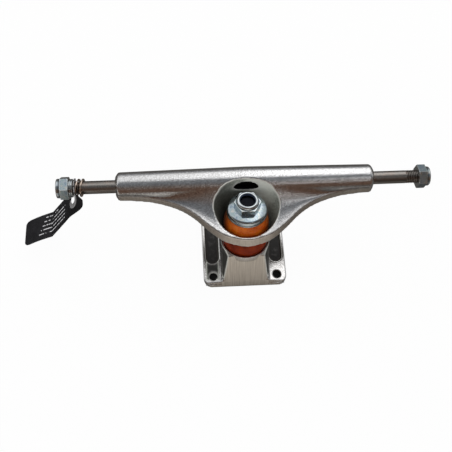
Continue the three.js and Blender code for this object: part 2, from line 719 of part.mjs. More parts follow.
// An oval across the kingpin's axis: it flares to the sides and a little to the front
function dishRing(rise, rear) {
  const side = DISH_FLOOR_RADIUS + DISH_SIDE_FLARE * rise;
  const front = DISH_FLOOR_RADIUS + DISH_FRONT_FLARE * rise;
  const points = [];
  for (let step = 0; step < ROUND_STEPS; step += 1) {
    const angle = 2 * Math.PI * step / ROUND_STEPS;
    const reach = Math.sin(angle) > 0 ? rear : front;
    const point = onKingpin(reach * Math.sin(angle), ringTop + rise);
    points.push(point.setX(side * Math.cos(angle)));
  }
  return points;
}

// The dish's back wall leans forward to a waist in front of the axle, then opens to its rim
function dish() {
  return solidOf(lofted([
    dishRing(0, DISH_FLOOR_RADIUS),
    dishRing(DISH_BELLY_RISE, DISH_FLOOR_RADIUS),
    dishRing(DISH_WAIST_RISE, DISH_BACK_WAIST),
    dishRing(DISH_HEIGHT, DISH_BACK_RADIUS),
  ]));
}

// The window behind the nut, which shows the axle
function axleWindow() {
  const outline = new THREE.Shape();
  outline.absellipse(0, 0, WINDOW_HALF_WIDTH, WINDOW_HALF_HEIGHT, 0, 2 * Math.PI);
  const depth = DISH_FLOOR_RADIUS;
  const window = raised(outline, 0, depth, BEND_STEPS).rotateX(Math.PI / 2);
  return solidOf(window.translate(0, axleY, AXLE_HEIGHT + WINDOW_RISE));
}

// Ellipses along the pivot arm: place in Y and Z, half width, half thickness and tilt
const ARM_TOP_HALF_WIDTH = 17;
const ARM_TOP_HALF_DEPTH = 8;
const ARM_MIDDLE_HALF_WIDTH = 10.5;
const ARM_MIDDLE_HALF_DEPTH = 8;
const ARM_NECK_RADIUS = 7.2;
const ARM_NECK_LEAD = 9;
const ARM_TOP_LEAD = 17;
const ARM_BACKSET = 2.4;

function armRing(centre, direction, halfWidth, halfDepth) {
  const across = new THREE.Vector3(1, 0, 0);
  const normal = new THREE.Vector3().crossVectors(direction, across).normalize();
  const points = [];
  for (let step = 0; step < SMALL_ROUND_STEPS; step += 1) {
    const angle = 2 * Math.PI * step / SMALL_ROUND_STEPS;
    points.push(centre.clone().addScaledVector(across, halfWidth * Math.cos(angle))
      .addScaledVector(normal, halfDepth * Math.sin(angle)));
  }
  return points;
}

function pivotArm() {
  const neck = pivotCentre.clone().addScaledVector(steerAxis, ARM_NECK_REACH);
  const axle = new THREE.Vector3(0, axleY, AXLE_HEIGHT);
  const path = new THREE.CubicBezierCurve3(
    neck,
    neck.clone().addScaledVector(steerAxis, ARM_NECK_LEAD),
    axle.clone().add(new THREE.Vector3(0, ARM_BACKSET, -ARM_TOP_LEAD)),
    axle,
  );
  const rings = [];
  for (let step = 0; step <= BEND_STEPS; step += 1) {
    const share = step / BEND_STEPS;
    const direction = path.getTangent(share);
    const width = new THREE.QuadraticBezierCurve(
      new THREE.Vector2(ARM_NECK_RADIUS, ARM_NECK_RADIUS),
      new THREE.Vector2(ARM_MIDDLE_HALF_WIDTH, ARM_MIDDLE_HALF_DEPTH),
      new THREE.Vector2(ARM_TOP_HALF_WIDTH, ARM_TOP_HALF_DEPTH),
    ).getPoint(share);
    rings.push(armRing(path.getPoint(share), direction, width.x, width.y));
  }
  const points = dome(NUB_RADIUS);
  points.push([NUB_RADIUS, CUP_MOUTH + CUP_LIP_HEIGHT + PIVOT_GAP]);
  points.push([ARM_NECK_RADIUS, ARM_NECK_REACH + PIVOT_GAP], [0, ARM_NECK_REACH + PIVOT_GAP]);
  const nub = layOnSteerAxis(turned(points, SMALL_ROUND_STEPS));
  return join(solidOf(lofted(rings)), solidOf(nub));
}

function ringCore() {
  return solidOf(standOnKingpin(turned([
    [0, ringFoot],
    [RING_FOOT_RADIUS, ringFoot],
    [NOSE_RADIUS - FIT_GAP, NOSE_BAND_FOOT + NOSE_EDGE],
    [NOSE_RADIUS - FIT_GAP, NOSE_BAND_FOOT + NOSE_BAND_HEIGHT / 2],
    [0, NOSE_BAND_FOOT + NOSE_BAND_HEIGHT / 2],
  ])));
}

function hanger() {
  const body = join(hangerBody(), ringCore(), pivotArm());
  const hole = standOnKingpin(rod(RING_BORE_DIAMETER / 2, -SEAT_HEIGHT, ringTop + OVERRUN,
    SMALL_ROUND_STEPS));
  const bore = layOnAxle(rod(AXLE_DIAMETER / 2 + FIT_GAP, -HANGER_LENGTH, HANGER_LENGTH,
    SMALL_ROUND_STEPS), 1);
  return geometryOf(cut(body, dish(), axleWindow(), solidOf(hole), solidOf(bore)));
}

place('hanger', hanger(), castAluminium);

// Axle: a rod with a thread at each end

function axle() {
  const radius = AXLE_DIAMETER / 2;
  const half = AXLE_LENGTH / 2;
  const chamfer = AXLE_THREAD_DEPTH;
  const end = grooves(radius, AXLE_THREAD_DEPTH, AXLE_THREAD_PITCH, half - AXLE_THREAD_LENGTH,
    half - chamfer);
  end.push([radius, half - chamfer], [radius - chamfer, half], [0, half]);
  const other = end.map(([ring, height]) => [ring, -height]).reverse();
  return layOnAxle(turned([...other, ...end], THREAD_STEPS), 1);
}

place('axle', axle(), darkSteel);

// Axle nuts and rings. The rings and the tag are all on the left stub, against the left nut

const AXLE_NUT_ACROSS_FLATS = 12.7;
const AXLE_NUT_HEX_HEIGHT = 5;
const AXLE_NUT_COLLAR_DIAMETER = 11.8;
const AXLE_NUT_COLLAR_HEIGHT = 2.5;
const AXLE_NUT_COLLAR_WALL = 1;
const AXLE_NUT_CHAMFER = 0.7;
const LEFT_NUT_PLACE = 106.2;
const RIGHT_NUT_PLACE = 106;
const LEFT_NUT_TURN = THREE.MathUtils.degToRad(21);
const RIGHT_NUT_TURN = THREE.MathUtils.degToRad(9);
const SPEED_RING_DIAMETER = 11.2;
const SPEED_RING_THICKNESS = 0.8;
const SPEED_RING_BORE_GAP = 0.25;
const TAG_GAP = 1.2;
const GOLD_RING_GAP = 2.5;

const axleNutBore = AXLE_DIAMETER / 2 + FIT_GAP / 2;

function placeAxleNut(side, suffix, start, turn) {
  const nut = lockNut(AXLE_NUT_ACROSS_FLATS, axleNutBore, AXLE_NUT_HEX_HEIGHT,
    AXLE_NUT_COLLAR_DIAMETER, AXLE_NUT_COLLAR_HEIGHT, AXLE_NUT_COLLAR_WALL, AXLE_NUT_CHAMFER);
  nut.rotateZ(turn).translate(0, 0, start);
  place(`axle_nut_${suffix}`, layOnAxle(nut, side), brightZinc);
  const ring = nylonRing(axleNutBore, AXLE_NUT_COLLAR_DIAMETER, AXLE_NUT_COLLAR_WALL,
    start + AXLE_NUT_HEX_HEIGHT + FIT_GAP / 2,
    AXLE_NUT_COLLAR_HEIGHT - FIT_GAP / 2 - NYLON_INSET);
  place(`axle_nut_insert_${suffix}`, layOnAxle(ring, side), blueNylon);
}

placeAxleNut(-1, 'left', LEFT_NUT_PLACE, LEFT_NUT_TURN);
placeAxleNut(1, 'right', RIGHT_NUT_PLACE, RIGHT_NUT_TURN);

// Rings on the left stub, from the nut inwards, with the tag between the two colours
const ringStep = SPEED_RING_THICKNESS + FIT_GAP;
const silverRingPlace = LEFT_NUT_PLACE - ringStep;
const tagPlace = silverRingPlace - ringStep - TAG_GAP;
const goldRingPlace = tagPlace - TAG_GAP - SPEED_RING_THICKNESS;
const speedRings = [
  ['speed_ring_silver_outer', silverRingPlace, brightZinc],
  ['speed_ring_silver_inner', silverRingPlace - ringStep, brightZinc],
  ['speed_ring_gold_outer', goldRingPlace, goldZinc],
  ['speed_ring_gold_inner', goldRingPlace - GOLD_RING_GAP - SPEED_RING_THICKNESS, goldZinc],
];
for (const [name, start, material] of speedRings) {
  const ring = tube(AXLE_DIAMETER / 2 + SPEED_RING_BORE_GAP, SPEED_RING_DIAMETER / 2, start,
    start + SPEED_RING_THICKNESS, SMALL_ROUND_STEPS);
  place(name, layOnAxle(ring, -1), material);
}

// Hang tag: a card strip that hangs on the axle by a large hole and folds at one crease

const TAG_WIDTH = 17.4;
const TAG_REACH = 38;
const TAG_FORWARD = 8.4;
const TAG_DROP = 43;
const TAG_THICKNESS = 0.7;
const TAG_HEAD_RADIUS = 5.8;
const TAG_REAR_WIDEN_DROP = 9;
const TAG_FRONT_WIDEN_DROP = 4;
const TAG_HOLE_RADIUS = 4.4;
const TAG_HOLE_DROP = 10.4;
const TAG_EDGE_CURL = 4.6;
const TAG_CURL_START = 5.2;
const TAG_CURL_SHARES = [0.3, 0.62];
const TAG_ACROSS_STEPS = 8;

// The card's middle line down to its crease, as shares of its reach, its way forward and its drop
const TAG_LINE_SHARES = [
  [0, 0, 0], [0.042, 0.119, 0.209], [0.163, 0.333, 0.384], [0.321, 0.595, 0.558],
  [0.495, 0.869, 0.744],
];
const TAG_CORNER_SHARES = [[0.83, 1], [0.93, 0.95], [0.98, 0.85], [1, 0.72]];
const TAG_ROW_SHARES = [0, 0.03, 0.07, 0.12, 0.2, 0.28, 0.36, 0.45, 0.54, 0.63, 0.75, 0.88, 1];

const tagEnd = new THREE.Vector3(-TAG_REACH, -TAG_FORWARD, -TAG_DROP);
const tagLine = TAG_LINE_SHARES.map((shares) => new THREE.Vector3(...shares).multiply(tagEnd));
const tagPath = new THREE.CatmullRomCurve3([new THREE.Vector3(0, 0, TAG_HEAD_RADIUS), ...tagLine]);

// The head is round about the axle. The card widens below it, sooner at its front edge
function tagHalfWidth(rise, front) {
  const top = front ? TAG_FRONT_WIDEN_DROP : 0;
  const drop = front ? TAG_FRONT_WIDEN_DROP : TAG_REAR_WIDEN_DROP;
  const head = Math.sqrt(Math.max(TAG_HEAD_RADIUS ** 2 - Math.max(rise, 0) ** 2, TAG_HEAD_RADIUS));
  return THREE.MathUtils.lerp(head, TAG_WIDTH / 2, THREE.MathUtils.smoothstep(top - rise, 0, drop));
}

// The card's middle surface: hang runs 0 to 1 down to the crease, across runs -1 to 1
function tagPoint(hang, across, offset) {
  const centre = tagPath.getPoint(hang);
  const side = across * tagHalfWidth(centre.z, across > 0);
  const out = Math.max(side - TAG_CURL_START, 0) / (TAG_WIDTH / 2 - TAG_CURL_START);
  const curl = TAG_EDGE_CURL * out * (1 - THREE.MathUtils.smoothstep(hang, ...TAG_CURL_SHARES));
  const tangent = tagPath.getTangent(hang);
  const normal = new THREE.Vector3(tangent.z, 0, -tangent.x).normalize();
  return centre.add(new THREE.Vector3(curl, -side, 0)).addScaledVector(normal, offset)
    .add(new THREE.Vector3(-tagPlace, axleY, AXLE_HEIGHT));
}

// A thin sheet through rows of points, closed round its edges
function sheet(rows) {
  const rings = rows.map(({ front, behind }) => [...front, ...behind.slice().reverse()]);
  return lofted(rings);
}

function tagRow(pointAt) {
  const row = { front: [], behind: [] };
  for (let step = 0; step <= TAG_ACROSS_STEPS; step += 1) {
    const across = 2 * step / TAG_ACROSS_STEPS - 1;
    row.front.push(pointAt(across, TAG_THICKNESS / 2));
    row.behind.push(pointAt(across, -TAG_THICKNESS / 2));
  }
  return row;
}

function hangTag() {
  const rows = TAG_ROW_SHARES.map((hang) => {
    return tagRow((across, offset) => tagPoint(hang, across, offset));
  });
  const fold = tagEnd.clone().sub(tagLine[tagLine.length - 1]);
  const lift = new THREE.Vector3(-fold.z, 0, fold.x).normalize();
  for (const [along, width] of TAG_CORNER_SHARES) {
    rows.push(tagRow((across, offset) => tagPoint(1, across * width, 0)
      .addScaledVector(fold, along).addScaledVector(lift, -offset)));
  }
  const reach = TAG_HOLE_RADIUS + TAG_GAP;
  const hole = new THREE.Shape();
  hole.absarc(0, 0, TAG_HOLE_RADIUS, 0, Math.PI, false);
  hole.absarc(0, -TAG_HOLE_DROP, TAG_HOLE_RADIUS, Math.PI, 2 * Math.PI, false);
  hole.closePath();
  const punch = raised(hole, -reach, reach).rotateX(Math.PI / 2).rotateZ(Math.PI / 2);
  punch.translate(-tagPlace, axleY, AXLE_HEIGHT);
  return geometryOf(cut(solidOf(sheet(rows)), solidOf(punch)));
}

place('hang_tag', hangTag(), blackCard);

export default truck;
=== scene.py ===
# %% [markdown]
# # Dressing a skateboard truck
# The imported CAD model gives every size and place. Here it gets its looks: fine surfaces, cast and sanded
# aluminium, zinc plating, urethane and a card tag. Each cell makes one thing and says what it made.

# %% Load the frame
import math
from contextlib import contextmanager

import bmesh
import bpy
import numpy as np
from mathutils import Matrix, Vector


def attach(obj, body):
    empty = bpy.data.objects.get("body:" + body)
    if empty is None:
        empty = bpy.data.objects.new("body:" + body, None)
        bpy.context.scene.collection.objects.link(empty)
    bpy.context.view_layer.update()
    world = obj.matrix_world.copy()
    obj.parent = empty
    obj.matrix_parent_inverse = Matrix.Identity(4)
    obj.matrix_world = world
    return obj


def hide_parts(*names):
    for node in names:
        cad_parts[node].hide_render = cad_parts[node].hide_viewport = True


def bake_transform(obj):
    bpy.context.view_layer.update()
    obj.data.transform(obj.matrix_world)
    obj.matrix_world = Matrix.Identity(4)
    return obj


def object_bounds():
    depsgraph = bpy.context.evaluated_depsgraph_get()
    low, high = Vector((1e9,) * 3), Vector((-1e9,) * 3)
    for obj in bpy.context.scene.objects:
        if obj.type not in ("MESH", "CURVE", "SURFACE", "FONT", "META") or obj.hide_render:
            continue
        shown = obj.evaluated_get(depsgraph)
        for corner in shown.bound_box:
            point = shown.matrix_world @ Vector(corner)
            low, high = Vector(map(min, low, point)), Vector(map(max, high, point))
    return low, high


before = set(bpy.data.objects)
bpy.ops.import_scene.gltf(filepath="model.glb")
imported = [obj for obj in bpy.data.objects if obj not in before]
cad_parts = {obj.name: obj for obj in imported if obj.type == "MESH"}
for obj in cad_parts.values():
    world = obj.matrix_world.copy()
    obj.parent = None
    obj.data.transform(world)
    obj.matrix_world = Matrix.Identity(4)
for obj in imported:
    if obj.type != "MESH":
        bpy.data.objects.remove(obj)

MM = 0.001


def new_object(name, data):
    made = bpy.data.objects.new(name, data)
    bpy.context.collection.objects.link(made)
    return made


cad_box = [[float(side) for side in corner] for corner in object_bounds()]
print("CAD box in mm:", [[round(side / MM, 1) for side in corner] for corner in cad_box])

# %% [markdown]
# ## The camera
# A product photographer stands in front of the truck and looks steeply down on it with a normal lens.
# A camera can be aimed at an empty, or placed by its angles. Angles are kept here, because a slight roll
# of the camera is part of the picture, and a target can't give that.

# %% Place the camera
CAMERA_RISE = math.radians(63.096)
CAMERA_TURN = math.radians(6.62)
CAMERA_ROLL = math.radians(-3.76)
CAMERA_PLACE = Vector((-35.17, -211.32, 428.05)) * MM
CAMERA_LENS = 56.45

towards_camera = Vector((
    -math.sin(CAMERA_TURN) * math.cos(CAMERA_RISE),
    -math.cos(CAMERA_TURN) * math.cos(CAMERA_RISE),
    math.sin(CAMERA_RISE),
))
level_right = Vector((math.cos(CAMERA_TURN), -math.sin(CAMERA_TURN), 0))
level_up = towards_camera.cross(level_right)
right = level_right * math.cos(CAMERA_ROLL) - level_up * math.sin(CAMERA_ROLL)
above = towards_camera.cross(right)

camera_data = bpy.data.cameras.new("camera")
camera_data.lens = CAMERA_LENS
camera_data.sensor_width = 36
camera_data.clip_start = 0.01
camera = new_object("camera", camera_data)
turn = Matrix((right, above, towards_camera)).transposed().to_4x4()
camera.matrix_world = Matrix.Translation(CAMERA_PLACE) @ turn
bpy.context.scene.camera = camera
print("camera", [round(side / MM) for side in CAMERA_PLACE], "mm from the plate's middle")

# %% [markdown]
# ## Floor, backdrop and light
# The truck lies on a white sweep under soft boxes. Polished metal has hardly any colour of its own: it
# shows what stands round it. Lamps alone would light it evenly, so a room is painted for mirrors: dim
# walls, a wide white box above and behind, a small one in front and a low one on the right. The floor is
# partly a lit surface, which keeps the shadow, and partly plain white for the camera. Under the plate it
# is painted near black, a painted shadow, and in mirrors it glows dimmer under and behind the truck, a
# painted shadow too. From below it is see-through, so that the underside can be looked at too.

# %% Helpers that add nodes, and a small language for sums of them
def fill(tree, node, inputs):
    """Give a node's inputs their values, or link them to the sockets that hold them."""
    for name, value in inputs.items():
        if isinstance(value, Number):
            value = value.socket
        if isinstance(value, bpy.types.NodeSocket):
            tree.links.new(value, node.inputs[name])
        else:
            node.inputs[name].default_value = value
    return node


def add_node(tree, kind, inputs=None, **settings):
    node = tree.nodes.new(kind)
    for name, value in settings.items():
        setattr(node, name, value)
    return fill(tree, node, inputs or {})


class Number:
    """A number in a node tree. Sums of it add math nodes, so that a rule reads as a rule."""

    def __init__(self, tree, socket):
        self.tree = tree
        self.socket = socket

    def make(self, operation, *others):
        node = add_node(self.tree, "ShaderNodeMath", dict(enumerate((self, *others))), operation=operation)
        return Number(self.tree, node.outputs[0])

    def __add__(self, other):
        return self.make("ADD", other)

    def __sub__(self, other):
        return self.make("SUBTRACT", other)

    def __mul__(self, other):
        return self.make("MULTIPLY", other)

    def __truediv__(self, other):
        return self.make("DIVIDE", other)

    def __rtruediv__(self, other):
        node = add_node(self.tree, "ShaderNodeMath", {0: other, 1: self}, operation="DIVIDE")
        return Number(self.tree, node.outputs[0])

    def rest(self):
        """What is left of 1."""
        return self * -1 + 1

    def between(self, low, high):
        return self.make("MAXIMUM", low).make("MINIMUM", high)

    def ease(self, low, high, to_low=0.0, to_high=1.0):
        """Goes smoothly from to_low, where this number is low, to to_high, where it is high."""
        node = add_node(self.tree, "ShaderNodeMapRange", {
            "Value": self, "From Min": low, "From Max": high, "To Min": to_low, "To Max": to_high,
        }, interpolation_type="SMOOTHSTEP")
        return Number(self.tree, node.outputs["Result"])


def between(tree, low, high, share):
    """A number, or a colour, that runs from low to high with the share."""
    in_colour = isinstance(low, (list, bpy.types.NodeSocket))
    first = 6 if in_colour else 2
    mix = add_node(tree, "ShaderNodeMix", {0: share, first: low, first + 1: high},
                   data_type="RGBA" if in_colour else "FLOAT")
    return mix.outputs[2] if in_colour else Number(tree, mix.outputs[0])


def paint(red, green, blue):
    """A colour as a paint chart gives it, 0 to 255, turned into light."""
    shares = [part / 255 for part in (red, green, blue)]
    return [(part / 12.92 if part < 0.04045 else ((part + 0.055) / 1.055) ** 2.4) for part in shares] + [1]


def grey(share):
    return [share, share, share, 1]


print("mid grey", [round(part, 3) for part in paint(128, 128, 128)])


# %% The floor
FLOOR_SIZE = 12
FLOOR_BELOW_PLATE = 0.1 * MM
FLOOR_WHITE_SHARE = 0.95
FLOOR_IN_MIRRORS = (0.8, 0.1)
FLOOR_AT_EDGE = 0.32
FLOOR_LEFT = 0.45
PLATE_REACH = (0.026, 0.039)
SIDE_BAND, LEFT_BAND = (0.045, 0.085), (-0.15, -0.12)
EDGE_BAND, FRONT_BAND = (-0.044, -0.039), (-0.09, -0.045)
FLOOR_WARMTH = [1, 0.95, 0.89, 1]


def ray_kinds(tree):
    """1 for rays from the camera, and 1 for those and the ones that metal or glass sends on."""
    path = add_node(tree, "ShaderNodeLightPath").outputs
    by_camera, by_metal, by_glass = [
        Number(tree, path["Is " + kind + " Ray"]) for kind in ("Camera", "Glossy", "Transmission")]
    return by_camera, by_camera.make("MAXIMUM", by_metal).make("MAXIMUM", by_glass)


floor_finish = bpy.data.materials.new("white_sweep")
floor_finish.use_nodes = True
tree = floor_finish.node_tree
tree.nodes.clear()
by_camera, either = ray_kinds(tree)
ground = add_node(tree, "ShaderNodeNewGeometry").outputs
spot = add_node(tree, "ShaderNodeSeparateXYZ", {"Vector": ground["Position"]}).outputs
floor_x, floor_y = Number(tree, spot["X"]), Number(tree, spot["Y"])
far_x, far_y = floor_x.make("ABSOLUTE"), floor_y.make("ABSOLUTE")
# Painted shadow: where the plate covers it, the floor is painted near black and gets no white glow.
over_x, over_y = [far.ease(reach, reach - MM) for far, reach in zip((far_x, far_y), PLATE_REACH)]
under_plate = over_x * over_y
open_floor = under_plate.ease(0.0, 1.0, 1.0, 0.0)
# Painted shadow in mirrors: the floor glows only dimly under and behind the truck, and brightly in front of
# it.
in_front = far_x.ease(*SIDE_BAND, *FLOOR_IN_MIRRORS)
in_front = in_front.make("MAXIMUM", floor_x.ease(*LEFT_BAND, FLOOR_LEFT, 0.0))
at_edge = floor_y.ease(*EDGE_BAND, FLOOR_AT_EDGE, FLOOR_IN_MIRRORS[1])
mirrored = floor_y.ease(*FRONT_BAND, in_front, at_edge)
matt = add_node(tree, "ShaderNodeBsdfDiffuse", {
    "Color": between(tree, grey(0.86), grey(0.03), under_plate)})
glow = add_node(tree, "ShaderNodeEmission", {
    "Color": between(tree, FLOOR_WARMTH, grey(1), by_camera),
    "Strength": between(tree, mirrored, 1.0, by_camera)})
share = either * by_camera.ease(0.0, 1.0, 1.0, FLOOR_WHITE_SHARE) * open_floor
from_above = add_node(tree, "ShaderNodeMixShader", {0: share, 1: matt.outputs[0], 2: glow.outputs[0]})
clear = add_node(tree, "ShaderNodeBsdfTransparent")
surface = add_node(tree, "ShaderNodeMixShader", {
    0: ground["Backfacing"], 1: from_above.outputs[0], 2: clear.outputs[0]})
add_node(tree, "ShaderNodeOutputMaterial", {"Surface": surface.outputs[0]})

floor_mesh = bpy.data.meshes.new("floor")
half = FLOOR_SIZE / 2
floor_mesh.from_pydata(
    [(-half, -half, 0), (half, -half, 0), (half, half, 0), (-half, half, 0)], [], [(0, 1, 2, 3)])
floor_mesh.materials.append(floor_finish)
floor_mesh.transform(Matrix.Translation((0, 0, cad_box[0][2] - FLOOR_BELOW_PLATE)))
floor = new_object("floor", floor_mesh)
print("floor", FLOOR_SIZE, "m across, at z", round(floor_mesh.vertices[0].co.z / MM, 2), "mm")

# %% The room round the truck
ROOM_STRENGTH = 0.62
ROOM_WALLS = [(0.0, (0.100, 0.062, 0.044)), (0.12, (0.115, 0.066, 0.045)), (0.24, (0.135, 0.105, 0.090)),
              (0.36, (0.140, 0.145, 0.155)), (0.5, (0.200, 0.210, 0.225)), (0.88, (0.260, 0.265, 0.275)),
              (1.0, (0.130, 0.130, 0.135))]
WIDE_BOX_NEAR, WIDE_BOX_FAR = (0.48, 0.60), (0.93, 0.76)
WIDE_BOX_LEFT, WIDE_BOX_RIGHT, WIDE_BOX_FADE = 0.6, 1.45, 0.3
WIDE_BOX_MIDDLE, WIDE_BOX_END = (-0.15, 0.22), (0.3, 0.46)
FRONT_BOX_AIM, FRONT_BOX_EDGE, FRONT_BOX_STRENGTH = (0.27, -0.44, 0.86), (0.988, 0.998), 0.8
FRONT_BOX_START = (0.235, 0.265)
LOW_BOX_HEIGHT, LOW_BOX_STRENGTH = (0.19, 0.215, 0.25, 0.275), 1.3
LOW_BOX_START, LOW_BOX_END = (0.12, 0.18), (0.245, 0.215)

world = bpy.data.worlds.new("room")
bpy.context.scene.world = world
world.use_nodes = True
tree = world.node_tree
tree.nodes.clear()
direction = add_node(tree, "ShaderNodeTexCoord").outputs["Generated"]
part = add_node(tree, "ShaderNodeSeparateXYZ", {"Vector": direction}).outputs
sideways, forward = Number(tree, part["X"]), Number(tree, part["Y"]) * -1.0
over = Number(tree, part["Z"]).make("ARCTAN2", forward) * (1 / math.pi)
walls = add_node(tree, "ShaderNodeValToRGB", {"Fac": over})
for index, (place, tone) in enumerate(ROOM_WALLS):
    stop = walls.color_ramp.elements[index] if index < 2 else walls.color_ramp.elements.new(place)
    stop.position = place
    stop.color = (*tone, 1)
wide_box = over.ease(*WIDE_BOX_NEAR) * over.ease(*WIDE_BOX_FAR)
wide_box = wide_box * sideways.ease(*WIDE_BOX_MIDDLE, WIDE_BOX_LEFT, WIDE_BOX_RIGHT)
wide_box = wide_box * sideways.ease(*WIDE_BOX_END, 1.0, WIDE_BOX_FADE)
towards_front_box = Number(tree, add_node(tree, "ShaderNodeVectorMath", {
    0: direction, 1: FRONT_BOX_AIM}, operation="DOT_PRODUCT").outputs["Value"])
front_box = towards_front_box.ease(*FRONT_BOX_EDGE) * FRONT_BOX_STRENGTH * sideways.ease(*FRONT_BOX_START)
low_box = over.ease(*LOW_BOX_HEIGHT[:2]) * over.ease(*LOW_BOX_HEIGHT[:1:-1])
low_box = low_box * (sideways.ease(*LOW_BOX_START) * LOW_BOX_STRENGTH) * sideways.ease(*LOW_BOX_END)
boxes = wide_box + front_box + low_box
picture = add_node(tree, "ShaderNodeMixRGB", {
    "Fac": 1.0, "Color1": walls.outputs["Color"], "Color2": boxes}, blend_type="ADD")
by_camera, either = ray_kinds(tree)
for_mirrors = add_node(tree, "ShaderNodeBackground", {"Color": picture.outputs["Color"], "Strength": 1.0})
for_camera = add_node(tree, "ShaderNodeBackground", {"Color": grey(1), "Strength": 1.0})
for_light = add_node(tree, "ShaderNodeBackground", {"Color": grey(1), "Strength": ROOM_STRENGTH})
seen = add_node(tree, "ShaderNodeMixShader", {
    0: either, 1: for_light.outputs[0], 2: for_mirrors.outputs[0]})
room = add_node(tree, "ShaderNodeMixShader", {0: by_camera, 1: seen.outputs[0], 2: for_camera.outputs[0]})
add_node(tree, "ShaderNodeOutputWorld", {"Surface": room.outputs[0]})
bpy.context.scene.view_settings.view_transform = "Standard"
print("room strength", ROOM_STRENGTH, "and", len(ROOM_WALLS), "tones for mirrors")


# %% Soft boxes
def soft_box(name, place, width, depth, power, aim=(0, 0, 0.03)):
    light = bpy.data.lights.new(name, "AREA")
    light.shape = "RECTANGLE"
    light.size = width
    light.size_y = depth
    light.energy = power
    lamp = new_object(name, light)
    away = Vector(place) - Vector(aim)
    lamp.matrix_world = Matrix.Translation(place) @ away.to_track_quat("Z", "Y").to_matrix().to_4x4()
    lamp.visible_glossy = False


soft_box("box_behind", (0.1, 0.6, 0.85), 1.4, 0.7, 4)
soft_box("box_left", (-0.8, -0.1, 0.8), 0.5, 0.8, 1.5)
soft_box("box_front", (0.5, -0.9, 0.7), 0.6, 0.5, 1.5)

# %% [markdown]
# ## Where things are on a truck
# Two lines rule the truck: the axle, level across it, and the kingpin, which leans back. Each point is
# given by its place on those lines, in millimetres, as a drawing would give it.

# %% The truck's own lines
LEAN = math.radians(9)
UP = np.array([0, math.sin(LEAN), math.cos(LEAN)])
BACK = np.array([0, math.cos(LEAN), -math.sin(LEAN)])
ACROSS = np.array([1.0, 0, 0])
SEAT = np.array([0, -17.0, 22.6])
PIVOT = np.array([0, 24.6, 15.0])
AXLE = np.array([0, 6.1, 55.0])
RING_FOOT, RING_TOP = 12.8, 17.4


def on_kingpin(back, height, across=0.0):
    """Points set back from the kingpin's line at a height above the seat's washer."""
    back, height, across = np.broadcast_arrays(back, height, across)
    return SEAT + back[..., None] * BACK + height[..., None] * UP + across[..., None] * ACROSS


STEER = on_kingpin(0.0, (RING_FOOT + RING_TOP) / 2) - PIVOT
STEER = STEER / np.linalg.norm(STEER)
print("steering line", STEER.round(3), "axle at", AXLE)


# %% [markdown]
# ## Tools for metalwork
# A lathe turns an outline about a line, a loft runs a skin through rings of points, and a boolean cuts one
# solid out of another. A voxel remesh then gives castings one even skin, whose edges are rounded by
# smoothing, which is what sand, tumbling and handling do to the real ones.

# %% From points to a finished piece
@contextmanager
def editing(mesh):
    """Open a mesh for editing, and close it again."""
    work = bmesh.new()
    work.from_mesh(mesh)
    yield work
    work.to_mesh(mesh)
    work.free()


def make_piece(name, points, faces):
    """A closed mesh from points in millimetres, with its faces turned outwards."""
    mesh = bpy.data.meshes.new(name)
    mesh.from_pydata(np.asarray(points) * MM, [], faces)
    with editing(mesh) as work:
        bmesh.ops.remove_doubles(work, verts=work.verts, dist=0.002 * MM)
        bmesh.ops.recalc_face_normals(work, faces=work.faces)
    return new_object(name, mesh)


def join_rings(rows, sides):
    """Faces of four corners that join each ring of points to the next one."""
    start = np.arange(rows - 1)[:, None] * sides
    here = np.arange(sides)
    there = (here + 1) % sides
    quads = np.stack([start + here, start + there, start + there + sides, start + here + sides], -1)
    return quads.reshape(-1, 4).tolist()


def loft(name, rings):
    """A closed skin through rings of points that all have the same count."""
    rings = np.asarray(rings, float)
    rows, sides = rings.shape[:2]
    faces = join_rings(rows, sides)
    points = np.vstack([rings.reshape(-1, 3), rings[0].mean(0), rings[-1].mean(0)])
    last = (rows - 1) * sides
    for side in range(sides):
        after = (side + 1) % sides
        faces.append([len(points) - 2, after, side])
        faces.append([len(points) - 1, last + side, last + after])
    return make_piece(name, points, faces)


def discard(*pieces):
    for piece in pieces:
        mesh = piece.data
        bpy.data.objects.remove(piece)
        bpy.data.meshes.remove(mesh)


print("lofts and pieces are ready")


# %% Outlines and the lathe
def rounded(outline, radius, steps=4):
    """An outline of [across, along] points with each corner rounded, or as its own third number says."""
    spots = [np.array(spot[:2], float) for spot in outline]
    result = [spots[0]]
    for index in range(1, len(spots) - 1):
        before, corner, after = spots[index - 1:index + 2]
        wish = outline[index][2] if len(outline[index]) > 2 else radius
        to_before, to_after = before - corner, after - corner
        room = min(np.linalg.norm(to_before), np.linalg.norm(to_after)) * 0.48
        reach = min(wish, room)
        if reach <= 0:
            result.append(corner)
            continue
        start = corner + to_before / np.linalg.norm(to_before) * reach
        end = corner + to_after / np.linalg.norm(to_after) * reach
        for step in range(steps + 1):
            share = step / steps
            result.append((1 - share) ** 2 * start + 2 * share * (1 - share) * corner + share ** 2 * end)
    result.append(spots[-1])
    return np.array(result)


def lathe(name, outline, place, along, sides=96):
    """Turn an outline about a line. It may touch the line at its ends, or come back to its start."""
    along = np.asarray(along, float) / np.linalg.norm(along)
    first = np.cross(along, [0.3, 0.5, 0.7])
    first /= np.linalg.norm(first)
    second = np.cross(along, first)
    angles = np.arange(sides) / sides * 2 * math.pi
    spokes = np.cos(angles)[:, None] * first + np.sin(angles)[:, None] * second
    rings = np.asarray(place) + outline[:, 1, None, None] * along + outline[:, 0, None, None] * spokes
    return make_piece(name, rings.reshape(-1, 3), join_rings(len(outline), sides))


def on_pin(name, outline, sides=96):
    return lathe(name, outline, SEAT, UP, sides)


print("a rounded square has", len(rounded([(0, 0), (5, 0), (5, 5), (0, 5)], 1)), "points")


